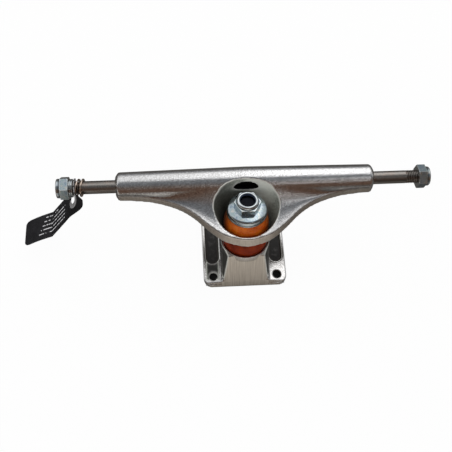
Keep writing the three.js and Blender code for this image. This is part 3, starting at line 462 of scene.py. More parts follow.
# %% Cutting, joining, remeshing and smoothing
def settle(piece):
    """Keep what the modifiers made, and remove them."""
    bpy.context.view_layer.update()
    graph = bpy.context.evaluated_depsgraph_get()
    done = bpy.data.meshes.new_from_object(piece.evaluated_get(graph))
    old = piece.data
    piece.modifiers.clear()
    piece.data = done
    done.name = piece.name
    bpy.data.meshes.remove(old)


def carve(piece, operation, *tools):
    for tool in tools:
        step = piece.modifiers.new("carve", "BOOLEAN")
        step.operation = operation
        step.solver = "MANIFOLD"
        step.object = tool
        settle(piece)
    discard(*tools)


def remesh(piece, size):
    step = piece.modifiers.new("skin", "REMESH")
    step.mode = "VOXEL"
    step.voxel_size = size * MM
    settle(piece)


def vectors_of(mesh, kind):
    flat = np.empty(len(mesh.vertices) * 3, np.float32)
    mesh.vertices.foreach_get(kind, flat)
    return flat.reshape(-1, 3).astype(float)


def places_of(mesh):
    return vectors_of(mesh, "co") / MM


def move_to(mesh, spots):
    mesh.vertices.foreach_set("co", (spots * MM).astype(np.float32).ravel())
    mesh.update()


def mean_round(mesh):
    """A function that gives each vertex the mean of its neighbours' values."""
    pairs = np.empty(len(mesh.edges) * 2, np.int32)
    mesh.edges.foreach_get("vertices", pairs)
    one, two = pairs.reshape(-1, 2).T
    count = len(mesh.vertices)
    degree = np.maximum(np.bincount(one, minlength=count) + np.bincount(two, minlength=count), 1)

    def mean(values):
        columns = []
        for column in values.T:
            total = np.bincount(one, column[two], count) + np.bincount(two, column[one], count)
            columns.append(total / degree)
        return np.stack(columns, -1)

    return mean


def smooth(piece, rounds, strength=None):
    """Even out the skin without shrinking it. Strength may differ from vertex to vertex."""
    mesh = piece.data
    mean = mean_round(mesh)
    spots = places_of(mesh)
    share = np.ones(len(spots)) if strength is None else strength
    for _ in range(rounds):
        for reach in (0.5, -0.52):
            spots = spots + (mean(spots) - spots) * reach * share[:, None]
    move_to(mesh, spots)


def note_edges(piece, rounds, scale):
    """Store how far each vertex stands out of the skin round it: 1 on edges, -1 in creases, 0 on flats."""
    mesh = piece.data
    mean = mean_round(mesh)
    spots = places_of(mesh)
    flat = spots
    for _ in range(rounds):
        flat = mean(flat)
    out = ((spots - flat) * vectors_of(mesh, "normal")).sum(1) / scale
    store(mesh, "edge", np.clip(out, -1, 1))


def store(mesh, name, values):
    if name in mesh.attributes:
        mesh.attributes.remove(mesh.attributes[name])
    mesh.attributes.new(name, "FLOAT", "POINT").data.foreach_set("value", values.astype(np.float32))


def evened(mesh, values, rounds=1):
    """The values spread over their neighbours, so that a finish ends softly."""
    mean = mean_round(mesh)
    values = values.astype(float)[:, None]
    for _ in range(rounds):
        values = mean(values)
    return values[:, 0]


def soften(piece, sharp=None):
    """Smooth shading, with a crisp line kept where faces meet at more than the given angle."""
    piece.data.shade_smooth()
    if sharp is not None:
        piece.data.set_sharp_from_angle(angle=math.radians(sharp))


def triangles_of(piece):
    return sum(len(face.vertices) - 2 for face in piece.data.polygons)


def dress(piece, finish, body, slot, *nodes):
    """Give a piece its finish and tie it to the frame. No body leaves it untied."""
    piece.data.materials.clear()
    piece.data.materials.append(finish)
    if body:
        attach(piece, body)
    if nodes:
        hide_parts(*nodes)
    print(piece.name, "has", triangles_of(piece), "triangles")


print("carving tools are ready")

# %% [markdown]
# ## Shared surface effects
# Grain, streaks, worn edges and blotches turn up on every metal here. Each could be drawn again in every
# material, but a node group is built once, and each finish then sets its own sizes on it.

# %% Node groups with named sockets
def new_group(name, kind, inputs, outputs):
    """A node group. Returns the tree, its inputs as Numbers, and its last node."""
    tree = bpy.data.node_groups.new(name, kind)
    for label, socket, value in inputs:
        made = tree.interface.new_socket(label, in_out="INPUT", socket_type="NodeSocket" + socket)
        if value is not None:
            made.default_value = value
    for label, socket in outputs:
        tree.interface.new_socket(label, in_out="OUTPUT", socket_type="NodeSocket" + socket)
    enter = tree.nodes.new("NodeGroupInput")
    leave = tree.nodes.new("NodeGroupOutput")
    given = {label: Number(tree, enter.outputs[label]) for label, _, _ in inputs}
    return tree, given, leave


def use_group(tree, group, inputs):
    """Put a node group into a tree, and give back its outputs as Numbers."""
    node = add_node(tree, "ShaderNodeGroup", inputs, node_tree=group)
    return {socket.name: Number(tree, socket) for socket in node.outputs}


def place_on_piece(tree):
    return add_node(tree, "ShaderNodeTexCoord").outputs["Object"]


def clouds(tree, spot, fineness, detail, roughness=0.5):
    """Soft noise, with so many clouds to the metre."""
    node = add_node(tree, "ShaderNodeTexNoise", {
        "Vector": spot, "Scale": fineness, "Detail": detail, "Roughness": roughness})
    return Number(tree, node.outputs["Fac"])


print("groups can be made")

# %% Grain: the fine pits and sparkle of cast, tumbled or plated metal
grain, given, leave = new_group(
    "grain", "ShaderNodeTree",
    [("Size", "Float", 0.3), ("Coarse Share", "Float", 0.4)],
    [("Height", "Float"), ("Sparkle", "Float")],
)
spot = place_on_piece(grain)
fineness = 1 / MM / given["Size"]
small = clouds(grain, spot, fineness, 3, 0.65)
large = clouds(grain, spot, fineness * 0.21, 2)
cells = add_node(grain, "ShaderNodeTexVoronoi", {"Vector": spot, "Scale": fineness})
lit = add_node(grain, "ShaderNodeSeparateColor", {"Color": cells.outputs["Color"]})
fill(grain, leave, {
    "Height": between(grain, small, large, given["Coarse Share"]), "Sparkle": lit.outputs["Red"]})
print("group", grain.name, [socket.name for socket in grain.interface.items_tree])

# %% Streaks: the parallel lines that a sanding belt leaves
streaks, given, leave = new_group(
    "streaks", "ShaderNodeTree",
    [("Size", "Float", 0.2), ("Along", "Vector", (1, 1, 0.04))],
    [("Height", "Float"), ("Tone", "Float")],
)
drawn = add_node(streaks, "ShaderNodeVectorMath", {
    0: place_on_piece(streaks), 1: given["Along"]}, operation="MULTIPLY").outputs[0]
fineness = 1 / MM / given["Size"]
fill(streaks, leave, {
    "Height": clouds(streaks, drawn, fineness, 4, 0.7), "Tone": clouds(streaks, drawn, fineness * 0.16, 2)})
print("group", streaks.name)

# %% Wear: bright rubbed edges and darker creases, broken up by noise
def attribute(tree, name):
    """What the mesh says at each point under that name."""
    return Number(tree, add_node(tree, "ShaderNodeAttribute", attribute_name=name).outputs["Fac"])


wear, given, leave = new_group(
    "wear", "ShaderNodeTree",
    [("Reach", "Float", 0.35), ("Breakup", "Float", 0.5), ("Patch Size", "Float", 2.5)],
    [("Rubbed", "Float"), ("Crease Darkening", "Float")],
)
edge = attribute(wear, "edge")
patches = clouds(wear, place_on_piece(wear), 1 / MM / given["Patch Size"], 4, 0.6)
loose = (patches - 0.5) * given["Breakup"]
fill(wear, leave, {
    "Rubbed": ((edge + loose) / given["Reach"]).between(0, 1),
    "Crease Darkening": ((loose - edge) / given["Reach"]).between(0, 1)})
print("group", wear.name)

# %% Blotches: slow changes from handling, plating and polish
blotches, given, leave = new_group(
    "blotches", "ShaderNodeTree",
    [("Size", "Float", 9.0), ("Low", "Float", 0.0), ("High", "Float", 1.0)],
    [("Value", "Float")],
)
cloud = clouds(blotches, place_on_piece(blotches), 1 / MM / given["Size"], 3)
fill(blotches, leave, {"Value": cloud.ease(0.32, 0.68, given["Low"], given["High"])})
print("group", blotches.name)


# %% A finish starts as a plain shader, and gets its nodes in its own cell
def named(settings):
    """Names as a shader has them, with gaps between the words."""
    return {label.replace("_", " "): value for label, value in settings.items()}


def new_finish(name, **sockets):
    finish = bpy.data.materials.new(name)
    finish.use_nodes = True
    tree = finish.node_tree
    shader = fill(tree, tree.nodes["Principled BSDF"], named(sockets))
    return finish, tree, shader


def tones(tree, pair, share):
    """A colour between two of the paint chart's."""
    return between(tree, paint(*pair[0]), paint(*pair[1]), share)


def emboss(tree, shader, height, depth):
    """Turn a height from 0 to 1 into bumps of that depth in millimetres."""
    bump = add_node(tree, "ShaderNodeBump", {"Height": height, "Distance": depth * MM, "Strength": 1.0})
    fill(tree, shader, {"Normal": bump.outputs["Normal"]})


def feed(tree, shader, **links):
    fill(tree, shader, named(links))


print("finishes can be made")

# %% [markdown]
# ## The finishes
# Bare cast aluminium is tumbled until it shines, so it is a mirror broken up by a fine grain. A texture
# photo could give that, but noise does it at any size and needs no file. Faces that were sanded after
# casting are duller, warmer and streaked. Hollows that no belt or stone could reach keep the skin from
# the mould: grey-green and matt. Light and shade are painted onto that skin too: a lighter tone on lit
# walls, and nearly black painted shade in pockets and on shaded walls. An attribute on each casting says
# where the sanding lies, and another where the mould skin and its painted light and shade lie.

# %% Cast aluminium, tumbled bright, with sanded faces, hollows in the mould's skin, and painted light and shade
LIT_SKIN_TONE, RAW_SKIN, RAW_SHADE = (222, 224, 214), ((128, 132, 124), (178, 182, 172)), (34, 32, 30)


def aluminium(name, bright, sanded_tone, along, pit_depth, gloss):
    finish, tree, shader = new_finish(name, Metallic=1.0)
    pits = use_group(tree, grain, {"Size": 0.55, "Coarse Share": 0.35})
    lines = use_group(tree, streaks, {"Size": 0.13, "Along": along})
    handled = use_group(tree, blotches, {"Size": 11.0, "Low": gloss[0], "High": gloss[1]})
    rubbed = use_group(tree, wear, {"Reach": 0.5, "Breakup": 0.35, "Patch Size": 3.0})
    belt, cast_skin_and_painted_light = attribute(tree, "sanded"), attribute(tree, "cast_skin_and_painted_light")
    skin_and_shade = cast_skin_and_painted_light.ease(0.0, 0.5)

    speckled, drawn = tones(tree, bright, pits["Sparkle"]), tones(tree, sanded_tone, lines["Tone"])
    # Painted light and shade on the mould skin: a lighter tone where the attribute is low, the skin's own
    # grey-green in the middle, nearly black where it is high.
    skin = between(tree, paint(*LIT_SKIN_TONE), tones(tree, RAW_SKIN, pits["Sparkle"]), cast_skin_and_painted_light.ease(0.38, 0.56))
    skin = between(tree, skin, paint(*RAW_SHADE), cast_skin_and_painted_light.ease(0.5, 1.0))
    colour = between(tree, between(tree, speckled, drawn, belt), skin, skin_and_shade)
    colour = between(tree, colour, paint(58, 52, 46), rubbed["Crease Darkening"] * 0.55)
    shine = rubbed["Rubbed"] * 0.35
    colour = between(tree, colour, paint(236, 234, 230), shine)

    rough = between(tree, handled["Value"], 0.46, belt)
    rough = between(tree, between(tree, rough, 0.5, skin_and_shade), 0.22, shine)
    feed(tree, shader, Base_Color=colour, Roughness=rough, Metallic=between(tree, 1.0, 0.2, skin_and_shade))
    emboss(tree, shader, between(tree, pits["Height"], lines["Height"], belt), pit_depth)
    return finish


cast_aluminium = aluminium(
    "tumbled_casting", ((196, 194, 193), (238, 238, 238)), ((176, 166, 156), (216, 208, 198)),
    (1, 1, 0.05), 0.085, (0.14, 0.24))
sanded_aluminium = aluminium(
    "sanded_casting", ((190, 187, 184), (236, 234, 232)), ((176, 168, 157), (234, 228, 218)),
    (1, 0.05, 0.05), 0.045, (0.08, 0.18))
print("made", cast_aluminium.name, "and", sanded_aluminium.name)

# %% [markdown]
# Zinc plating is thin and slightly coloured: bluish, with teal and straw patches where the bath left it
# thicker. A colour ramp over slow noise gives those patches, and fine grain keeps the plating from
# looking like chrome.


# %% Zinc plating, clear and yellow
def plating(name, film_tones, gloss, pit_depth):
    finish, tree, shader = new_finish(name, Metallic=1.0)
    film = use_group(tree, blotches, {"Size": 2.6})
    pits = use_group(tree, grain, {"Size": 0.16, "Coarse Share": 0.5})
    rubbed = use_group(tree, wear, {"Reach": 0.6, "Breakup": 0.3, "Patch Size": 1.2})
    ramp = add_node(tree, "ShaderNodeValToRGB", {"Fac": film["Value"]})
    stops = ramp.color_ramp.elements
    while len(stops) < len(film_tones):
        stops.new(0.5)
    for index, tone in enumerate(film_tones):
        stops[index].position = index / (len(film_tones) - 1)
        stops[index].color = paint(*tone)
    colour = between(tree, ramp.outputs["Color"], paint(52, 50, 50), rubbed["Crease Darkening"] * 0.6)
    colour = between(tree, colour, paint(238, 240, 240), rubbed["Rubbed"] * 0.55)
    feed(tree, shader, Base_Color=colour, Roughness=between(tree, *gloss, pits["Sparkle"]))
    emboss(tree, shader, pits["Height"], pit_depth)
    return finish


bright_zinc = plating(
    "clear_zinc_plate", ((148, 166, 178), (186, 194, 200), (156, 178, 182), (196, 197, 194)),
    (0.1, 0.22), 0.012)
gold_zinc = plating(
    "yellow_zinc_plate", ((166, 110, 52), (226, 168, 94), (190, 134, 74)), (0.16, 0.3), 0.012)
print("made", bright_zinc.name, "and", gold_zinc.name)

# %% [markdown]
# The axle and the kingpin are bare hardened steel, drawn lengthwise. The axle is dark with a brown cast
# from heat treatment, and streaks along the bar and a few rust blooms tell it from the plated parts.
# Inside the hanger the axle is painted near black, as painted shade seen through the hanger's window,
# and an attribute marks where. The kingpin is painted near black all over, as painted shade for its tip
# in the lock nut's bore.


# %% Dark steel bars
def steel_bar(name, dark, gloss, rust_share):
    finish, tree, shader = new_finish(name, Metallic=1.0)
    pits = use_group(tree, grain, {"Size": 0.18, "Coarse Share": 0.4})
    lines = use_group(tree, streaks, {"Size": 0.2, "Along": (0.03, 1, 1)})
    bloom = use_group(tree, blotches, {"Size": 4.5, "Low": -0.6, "High": 0.75})
    rubbed = use_group(tree, wear, {"Reach": 0.5, "Breakup": 0.4, "Patch Size": 1.5})
    colour = tones(tree, dark, lines["Tone"])
    rust = (bloom["Value"] * rust_share).between(0, 0.4)
    colour = between(tree, colour, paint(122, 82, 56), rust)
    colour = between(tree, colour, paint(214, 210, 204), rubbed["Rubbed"] * 0.7 * rust_share)
    # Painted shade: near black where the scale attribute marks the part of the bar hidden inside the
    # hanger.
    colour = between(tree, colour, paint(12, 12, 11), attribute(tree, "scale"))
    feed(tree, shader, Base_Color=colour, Roughness=between(tree, *gloss, pits["Sparkle"]))
    emboss(tree, shader, lines["Height"], 0.012)
    return finish


dark_steel = steel_bar("drawn_steel", ((72, 66, 61), (110, 102, 96)), (0.24, 0.42), 0.6)
# The kingpin's copy is near black: painted shade of the lock nut's bore, where the kingpin's tip shows.
shaded_steel = steel_bar("painted_shade_steel", ((20, 22, 27), (36, 37, 42)), (0.38, 0.6), 0.0)
print("made", dark_steel.name, "and", shaded_steel.name)

# %% [markdown]
# Bushings are cast urethane, slightly see-through, so light spreads under the skin. Glass-like
# transmission would be too clear, so the shader's own subsurface spreads the light, with a thin gloss.
# The upper bushing is painted darker towards its back, as painted shade inside the hanger's dish, and an
# attribute says where. The lower bushing gets a darker copy of the same urethane with weaker highlights:
# painted shade under the hanger.


# %% Cast urethane
def urethane(name, light, deep, spread, gloss):
    finish, tree, shader = new_finish(name, Subsurface_Weight=spread, Subsurface_Scale=0.004, IOR=1.5)
    shader.inputs["Subsurface Radius"].default_value = (1.0, 0.35, 0.1)
    cloud = use_group(tree, blotches, {"Size": 6.0})
    skin = use_group(tree, grain, {"Size": 0.5, "Coarse Share": 0.6})
    rubbed = use_group(tree, wear, {"Reach": 0.8, "Breakup": 0.3, "Patch Size": 2.0})
    colour = tones(tree, (deep, light), cloud["Value"])
    colour = between(tree, colour, paint(64, 26, 12), rubbed["Crease Darkening"] * 0.5)
    # Painted shade: darker where the attribute marks the back of the upper bushing, inside the dish.
    colour = between(tree, colour, paint(58, 40, 30), attribute(tree, "painted_dish_shade"))
    feed(tree, shader, Base_Color=colour, Roughness=between(tree, *gloss, skin["Sparkle"]))
    emboss(tree, shader, skin["Height"], 0.02)
    return finish


amber_urethane = urethane("cast_urethane", (204, 104, 20), (176, 74, 10), 0.35, (0.24, 0.38))
# A darker copy of the same urethane, with weaker highlights: painted shade for the lower bushing under the
# hanger.
shaded_urethane = urethane("painted_shade_urethane", (124, 38, 3), (96, 24, 2), 0.3, (0.34, 0.5))
shaded_urethane.node_tree.nodes["Principled BSDF"].inputs["Specular IOR Level"].default_value = 0.1
black_urethane = urethane("cup_urethane", (30, 30, 32), (20, 20, 22), 0.0, (0.4, 0.6))
dark_nylon = urethane("lock_nylon", (40, 52, 72), (22, 30, 44), 0.0, (0.35, 0.55))
print("made", [each.name for each in (amber_urethane, shaded_urethane, black_urethane, dark_nylon)])

# %% [markdown]
# ## The baseplate
# On the real truck this is one casting: a flat plate, a leaning boss under the kingpin, and a housing for
# the pivot. It could be modelled face by face, but it is cut from simple solids as a die is, and then
# given one voxel skin. Its six bolt holes repeat, so Geometry Nodes set out the drills.

# %% Nodes that set out the six drills
def give_out(tree, geometry, finish, leave):
    """End a node tree: make its copies real, give them their finish, and send them out."""
    real = add_node(tree, "GeometryNodeRealizeInstances", {"Geometry": geometry})
    dressed = add_node(tree, "GeometryNodeSetMaterial", {"Geometry": real.outputs[0], "Material": finish})
    fill(tree, leave, {"Geometry": dressed.outputs[0]})


drills, given, leave = new_group(
    "bolt_drills", "GeometryNodeTree",
    [("Across", "Float", 0.041275), ("Short Spacing", "Float", 0.053975), ("Long Spacing", "Float", 0.0635),
     ("Front", "Float", -0.0339), ("Radius", "Float", 0.0027), ("Depth", "Float", 0.05),
     ("Finish", "Material", None)],
    [("Geometry", "Geometry")],
)
corners = add_node(drills, "GeometryNodeMeshGrid", {
    "Size X": given["Across"], "Size Y": given["Long Spacing"], "Vertices X": 2, "Vertices Y": 2})
long_middle = given["Long Spacing"] * 0.5 + given["Front"]
long_place = add_node(drills, "ShaderNodeCombineXYZ", {"Y": long_middle})
outer = add_node(drills, "GeometryNodeTransform", {
    "Geometry": corners.outputs["Mesh"], "Translation": long_place.outputs[0]})
start = add_node(drills, "ShaderNodeCombineXYZ", {
    "X": given["Across"] * -0.5, "Y": given["Short Spacing"] + given["Front"]})
stride = add_node(drills, "ShaderNodeCombineXYZ", {"X": given["Across"]})
inner = add_node(drills, "GeometryNodeMeshLine", {
    "Count": 2, "Start Location": start.outputs[0], "Offset": stride.outputs[0]})
spots = add_node(drills, "GeometryNodeJoinGeometry")
for part in (outer.outputs["Geometry"], inner.outputs["Mesh"]):
    drills.links.new(part, spots.inputs["Geometry"])
drill = add_node(drills, "GeometryNodeMeshCylinder", {
    "Vertices": 64, "Radius": given["Radius"], "Depth": given["Depth"]})
placed = add_node(drills, "GeometryNodeInstanceOnPoints", {
    "Points": spots.outputs[0], "Instance": drill.outputs["Mesh"]})
give_out(drills, placed.outputs[0], given["Finish"], leave)


def grow(name, tree, **inputs):
    """Run a node tree on an empty mesh with the given inputs, and keep the result as a plain mesh."""
    piece = new_object(name, bpy.data.meshes.new(name))
    step = piece.modifiers.new("grow", "NODES")
    step.node_group = tree
    sockets = {socket.name: socket.identifier for socket in tree.interface.items_tree
               if socket.in_out == "INPUT"}
    for label, value in named(inputs).items():
        step[sockets[label]] = value
    settle(piece)
    return piece


six_drills = grow("six_drills", drills, Finish=sanded_aluminium)
print("drills:", len(six_drills.data.vertices) // 128, "of", len(six_drills.data.polygons), "faces in all")


# %% The solids that the casting is cut from
def hull(name, points):
    """The tightest closed skin round some points."""
    mesh = bpy.data.meshes.new(name)
    mesh.from_pydata(np.asarray(points) * MM, [], [])
    with editing(mesh) as work:
        result = bmesh.ops.convex_hull(work, input=work.verts)
        spare = {item for item in result["geom_interior"] + result["geom_unused"]
                 if isinstance(item, bmesh.types.BMVert)}
        bmesh.ops.delete(work, geom=list(spare), context="VERTS")
        bmesh.ops.recalc_face_normals(work, faces=work.faces)
    return new_object(name, mesh)


def slab(name, outline, low, high):
    """A flat outline in X and Y, raised from one height to another."""
    outline = np.asarray(outline, float)
    floor_ring = np.column_stack([outline, np.full(len(outline), low)])
    roof_ring = np.column_stack([outline, np.full(len(outline), high)])
    return loft(name, [floor_ring, roof_ring])


def arc(middle, radius, start, end, steps=16):
    angles = np.radians(np.linspace(start, end, steps))
    return np.column_stack([middle[0] + radius * np.cos(angles), middle[1] + radius * np.sin(angles)])


def half_ball(radius, steps=14):
    """The lower half of a ball's outline, from its pole out to its rim."""
    angles = np.linspace(0, math.pi / 2, steps)
    return [(radius * math.sin(angle), -radius * math.cos(angle)) for angle in angles]


PLATE_HALF_WIDTH, PLATE_HALF_LENGTH, PLATE_THICKNESS, CORNER = 26.8, 40.0, 5.6, 6.0
SEAT_RIM, SEAT_RECESS = 15.4, 14.6
CUP_RADIUS = 8.65
BOSS_FOOT = 15.2
POCKET_SIDE, POCKET_FRONT, POCKET_BACK, POCKET_RADIUS, POCKET_DEPTH = 24.9, -25.1, 11.275, 4.3, 1.3
PIN_BORE, HEAD_FLATS = 5.05, 14.29
SLOPE_MEETS_RIM = 8.0
seat_front = on_kingpin(-math.sqrt(SEAT_RIM ** 2 - SLOPE_MEETS_RIM ** 2), 1.6)
EDGE_SLOPE = 0.3
edge_top = -PLATE_HALF_LENGTH + EDGE_SLOPE * PLATE_THICKNESS
front_slope = (seat_front[1] - edge_top) / (seat_front[2] - PLATE_THICKNESS)


def front_face(height):
    slope = front_slope if height > PLATE_THICKNESS else EDGE_SLOPE
    return edge_top + slope * (height - PLATE_THICKNESS)


inner_x, inner_y = PLATE_HALF_WIDTH - CORNER, PLATE_HALF_LENGTH - CORNER
plate_outline = np.vstack([
    arc((inner_x, -inner_y), CORNER, -90, 0), arc((inner_x, inner_y), CORNER, 0, 90),
    arc((-inner_x, inner_y), CORNER, 90, 180), arc((-inner_x, -inner_y), CORNER, 180, 270),
])
baseplate = slab("baseplate_skin", plate_outline, 0, PLATE_THICKNESS)

round_boss = np.linspace(0, 2 * math.pi, 96, endpoint=False)
boss_points = [on_kingpin(SEAT_RIM * np.sin(round_boss), height, SEAT_RIM * np.cos(round_boss))
               for height in (-2, 1.6)]
for side in (-1, 1):
    boss_points.append(np.array([
        (side * 11.4, front_face(25.4), 25.4), (side * BOSS_FOOT, front_face(0), 0),
        (side * BOSS_FOOT, SEAT[1] + 19, 0), (side * 9, SEAT[1] + 19, PLATE_THICKNESS),
    ]))
boss = hull("boss", np.vstack(boss_points))

housing_radius = CUP_RADIUS + 3.3
dome_rows = half_ball(housing_radius) + [(housing_radius, 6.7), (0.001, 6.7)]
housing_skin = lathe("housing", np.array(dome_rows), PIVOT, STEER)
housing_points = [places_of(housing_skin.data)]
discard(housing_skin)
HOUSING_FOOT, HOUSING_FRONT, HOUSING_REAR = 13, PIVOT[1] - 12, PLATE_HALF_LENGTH - 2.8
housing_points.append(np.array([
    (side * HOUSING_FOOT, y, PLATE_THICKNESS / 2)
    for side in (-1, 1) for y in (HOUSING_FRONT, HOUSING_REAR)]))
housing = hull("housing", np.vstack(housing_points))
rib = slab("rib", [(-7, SEAT[1]), (7, SEAT[1]), (7, PIVOT[1]), (-7, PIVOT[1])], 0, 10.5)
carve(baseplate, "UNION", boss, housing, rib)
print("baseplate blank:", len(baseplate.data.polygons), "faces")

# %% Cut the seat, the bores, the pockets and the holes
wedge_side = [(front_face(-4), -4), (edge_top, PLATE_THICKNESS), (front_face(30), 30),
              (-PLATE_HALF_LENGTH - 4, 30), (-PLATE_HALF_LENGTH - 4, -4)]
front_wedge = loft("front_wedge", [[(x, y, z) for y, z in wedge_side] for x in (-60, 60)])
seat_cut = on_pin("seat_cut", np.array([(0.001, -1.6), (SEAT_RECESS, -1.6), (SEAT_RECESS, 8), (0.001, 8)]))
pin_bore = on_pin("pin_bore", np.array([(0.001, -45), (PIN_BORE, -45), (PIN_BORE, 3), (0.001, 3)]), 64)
recess_reach = (HEAD_FLATS / 2 + 0.5) / math.cos(math.radians(30))
hexagon = arc((0, 0), recess_reach, 0, 300, 6)
head_recess = loft("head_recess", [
    [on_kingpin(across_y, height, across_x) for across_x, across_y in hexagon] for height in (-45, -14.3)])
cup_lip = CUP_RADIUS + 1.5
socket_rows = half_ball(CUP_RADIUS + 0.3) + [
    (CUP_RADIUS + 0.3, 6.7), (cup_lip, 6.7), (cup_lip, 12), (0.001, 12)]
socket_cut = lathe("socket_cut", np.array(socket_rows), PIVOT, STEER)
under = slab("under", [(-90, -90), (90, -90), (90, 90), (-90, 90)], -40, 0)

pocket_cuts = []
for side in (-1, 1):
    middle = side * (POCKET_SIDE - POCKET_RADIUS)
    pocket_outline = np.vstack([
        arc((middle, POCKET_BACK - POCKET_RADIUS), POCKET_RADIUS, 0, 180),
        arc((middle, POCKET_FRONT + POCKET_RADIUS), POCKET_RADIUS, 180, 360)])
    pocket_cuts.append(slab(
        "pocket", pocket_outline, PLATE_THICKNESS - POCKET_DEPTH, PLATE_THICKNESS + 4))
carve(baseplate, "DIFFERENCE", front_wedge, seat_cut, pin_bore, head_recess, socket_cut, under,
      *pocket_cuts, six_drills)
print("baseplate cut:", len(baseplate.data.polygons), "faces")

# %% Give the plate one even skin, and its lands a slope so that they leave the mould
DRAFT_OUT, DRAFT_TO_ENDS, DRAFT_STARTS = 0.1, 0.05, 20
POCKET_MIDDLE, POCKET_REACH = (20.6, -6.9), (4.6, 18.6)
# Painted reflection and painted shade: part of the left land and the boss's sides are painted nearly black.
DARK_LAND_MIDDLE, DARK_LAND_REACH = (-21.0, -30.0), (3.8, 6.2)
DARK_LAND_SHARE, BOSS_SIDE_SHARE = 0.94, 0.93

remesh(baseplate, 0.45)
smooth(baseplate, 4)
spots = places_of(baseplate.data)
far = np.abs(spots)
draft = DRAFT_OUT * np.clip(far[:, 0] - BOSS_FOOT, 0, None) \
    + DRAFT_TO_ENDS * np.clip(far[:, 1] - DRAFT_STARTS, 0, None)
draft *= np.clip((spots[:, 2] - 2.5) / 1.5, 0, 1) * (far[:, 2] < 7) * (far[:, 0] > BOSS_FOOT)
spots[:, 2] -= draft
move_to(baseplate.data, spots)
note_edges(baseplate, 6, 0.35)


def near(spots, middle, reach):
    """Points whose X and Y are within reach of a middle."""
    return np.all(np.abs(spots[:, :2] - middle) < reach, axis=1)


spots = places_of(baseplate.data)
normals = vectors_of(baseplate.data, "normal")
sanded = np.zeros(len(spots))
for slope in (EDGE_SLOPE, front_slope):
    face_tilt = np.array([0, -1, slope]) / math.hypot(1, slope)
    on_face = np.abs((spots - [0, edge_top, PLATE_THICKNESS]) @ face_tilt) < 0.45
    sanded[on_face & (normals @ face_tilt > 0.8)] = 1
sanded[(spots[:, 2] > 20) & (normals @ UP > 0.8)] = 1
sanded = evened(baseplate.data, sanded)
store(baseplate.data, "sanded", sanded)

cast_height = spots[:, 2] + draft
both_sides = np.abs(spots) * [1, 0, 0] + spots * [0, 1, 1]
# Painted shade: the pockets and the boss's sides are painted nearly black, and part of the left land
# carries a painted reflection of the dark hanger. Where they fade out, a lighter painted rim is left.
on_floor = np.abs(cast_height - PLATE_THICKNESS + 1.0) < 0.75
in_pocket = on_floor & near(both_sides, POCKET_MIDDLE, POCKET_REACH)
on_land = np.abs(cast_height - PLATE_THICKNESS) < 0.5
dark_land = on_land & near(spots, DARK_LAND_MIDDLE, DARK_LAND_REACH)
boss_side = (cast_height > 7.5) & (np.abs(normals[:, 0]) > 0.55) & (sanded < 0.3)
boss_side &= spots[:, 1] < SEAT[1] + 8
skin_and_shade = np.maximum(in_pocket * 1.0, np.maximum(dark_land * DARK_LAND_SHARE, boss_side * BOSS_SIDE_SHARE))
store(baseplate.data, "cast_skin_and_painted_light", evened(baseplate.data, skin_and_shade, 2))
soften(baseplate)
print("baseplate skin:", len(baseplate.data.polygons), "faces,", round(sanded.mean() * 100), "% sanded")

# %% The thin rim of the seat is finer than the skin, so it is turned and set in
rim_rows = rounded([(12, -1.6, 0), (12, -3.2), (SEAT_RIM, -2.6), (SEAT_RIM, 2.0), (SEAT_RECESS, 2.0),
                    (SEAT_RECESS, -1.6, 0), (12, -1.6, 0)], 0.3)
seat_rim = on_pin("seat_rim", rim_rows, 160)
store(seat_rim.data, "sanded", ((places_of(seat_rim.data) - SEAT) @ UP < 1.4).astype(float))
soften(seat_rim, 50)
dress(baseplate, sanded_aluminium, "base", "sanded_aluminium", "baseplate")
dress(seat_rim, sanded_aluminium, "base", "sanded_aluminium")

# %% [markdown]
# ## Threaded bars
# The kingpin and the axle are round bars with a rolled thread, one long groove that climbs round the bar.
# A texture could fake it, and a screw modifier could turn it, but its rule is simple: the radius depends
# on the height and the angle. So a grid is wrapped into a bar, and the rule moves each of its points.

# %% Nodes that wrap a grid into a bar
SEAM = 0.002 * MM


def flat_grid(tree, sides, rows):
    """A flat grid that a rule will wrap: its mesh, and the angle and the row of each point."""
    grid = add_node(tree, "GeometryNodeMeshGrid", {
        "Size X": 1.0, "Size Y": 1.0, "Vertices X": sides + 1, "Vertices Y": rows})
    spot = add_node(tree, "ShaderNodeSeparateXYZ", {
        "Vector": add_node(tree, "GeometryNodeInputPosition").outputs[0]}).outputs
    angle = (Number(tree, spot["X"]) + 0.5) * (2 * math.pi)
    row = ((Number(tree, spot["Y"]) + 0.5) * (rows - 1)).make("ROUND")
    return grid.outputs["Mesh"], angle, row


def wrap_grid(tree, grid, angle, radius, height):
    """Move each point of the grid to its angle, radius and height, and close the seam."""
    wrapped = add_node(tree, "ShaderNodeCombineXYZ", {
        "X": angle.make("COSINE") * radius, "Y": angle.make("SINE") * radius, "Z": height})
    moved = add_node(tree, "GeometryNodeSetPosition", {"Geometry": grid, "Position": wrapped.outputs[0]})
    closed = add_node(tree, "GeometryNodeMergeByDistance", {"Geometry": moved.outputs[0], "Distance": SEAM})
    return closed.outputs[0]


print("a grid can be wrapped")

# %% The rule of a threaded bar
ROWS_PER_TURN = 12
bar, given, leave = new_group(
    "threaded_bar", "GeometryNodeTree",
    [("Radius", "Float", 0.004), ("Low", "Float", -0.1), ("High", "Float", 0.1),
     ("Low Turns", "Float", 11.0), ("High Turns", "Float", 11.0),
     ("Pitch", "Float", 0.001), ("Depth", "Float", 0.0005),
     ("Chamfer", "Float", 0.0006), ("Sides", "Int", 48), ("Finish", "Material", None)],
    [("Geometry", "Geometry")],
)
low_rows = (given["Low Turns"] * ROWS_PER_TURN).make("FLOOR")
high_rows = (given["High Turns"] * ROWS_PER_TURN).make("FLOOR")
side_rows = low_rows + high_rows + 2
grid, angle, row = flat_grid(bar, given["Sides"], side_rows + 4)
row = row - 2

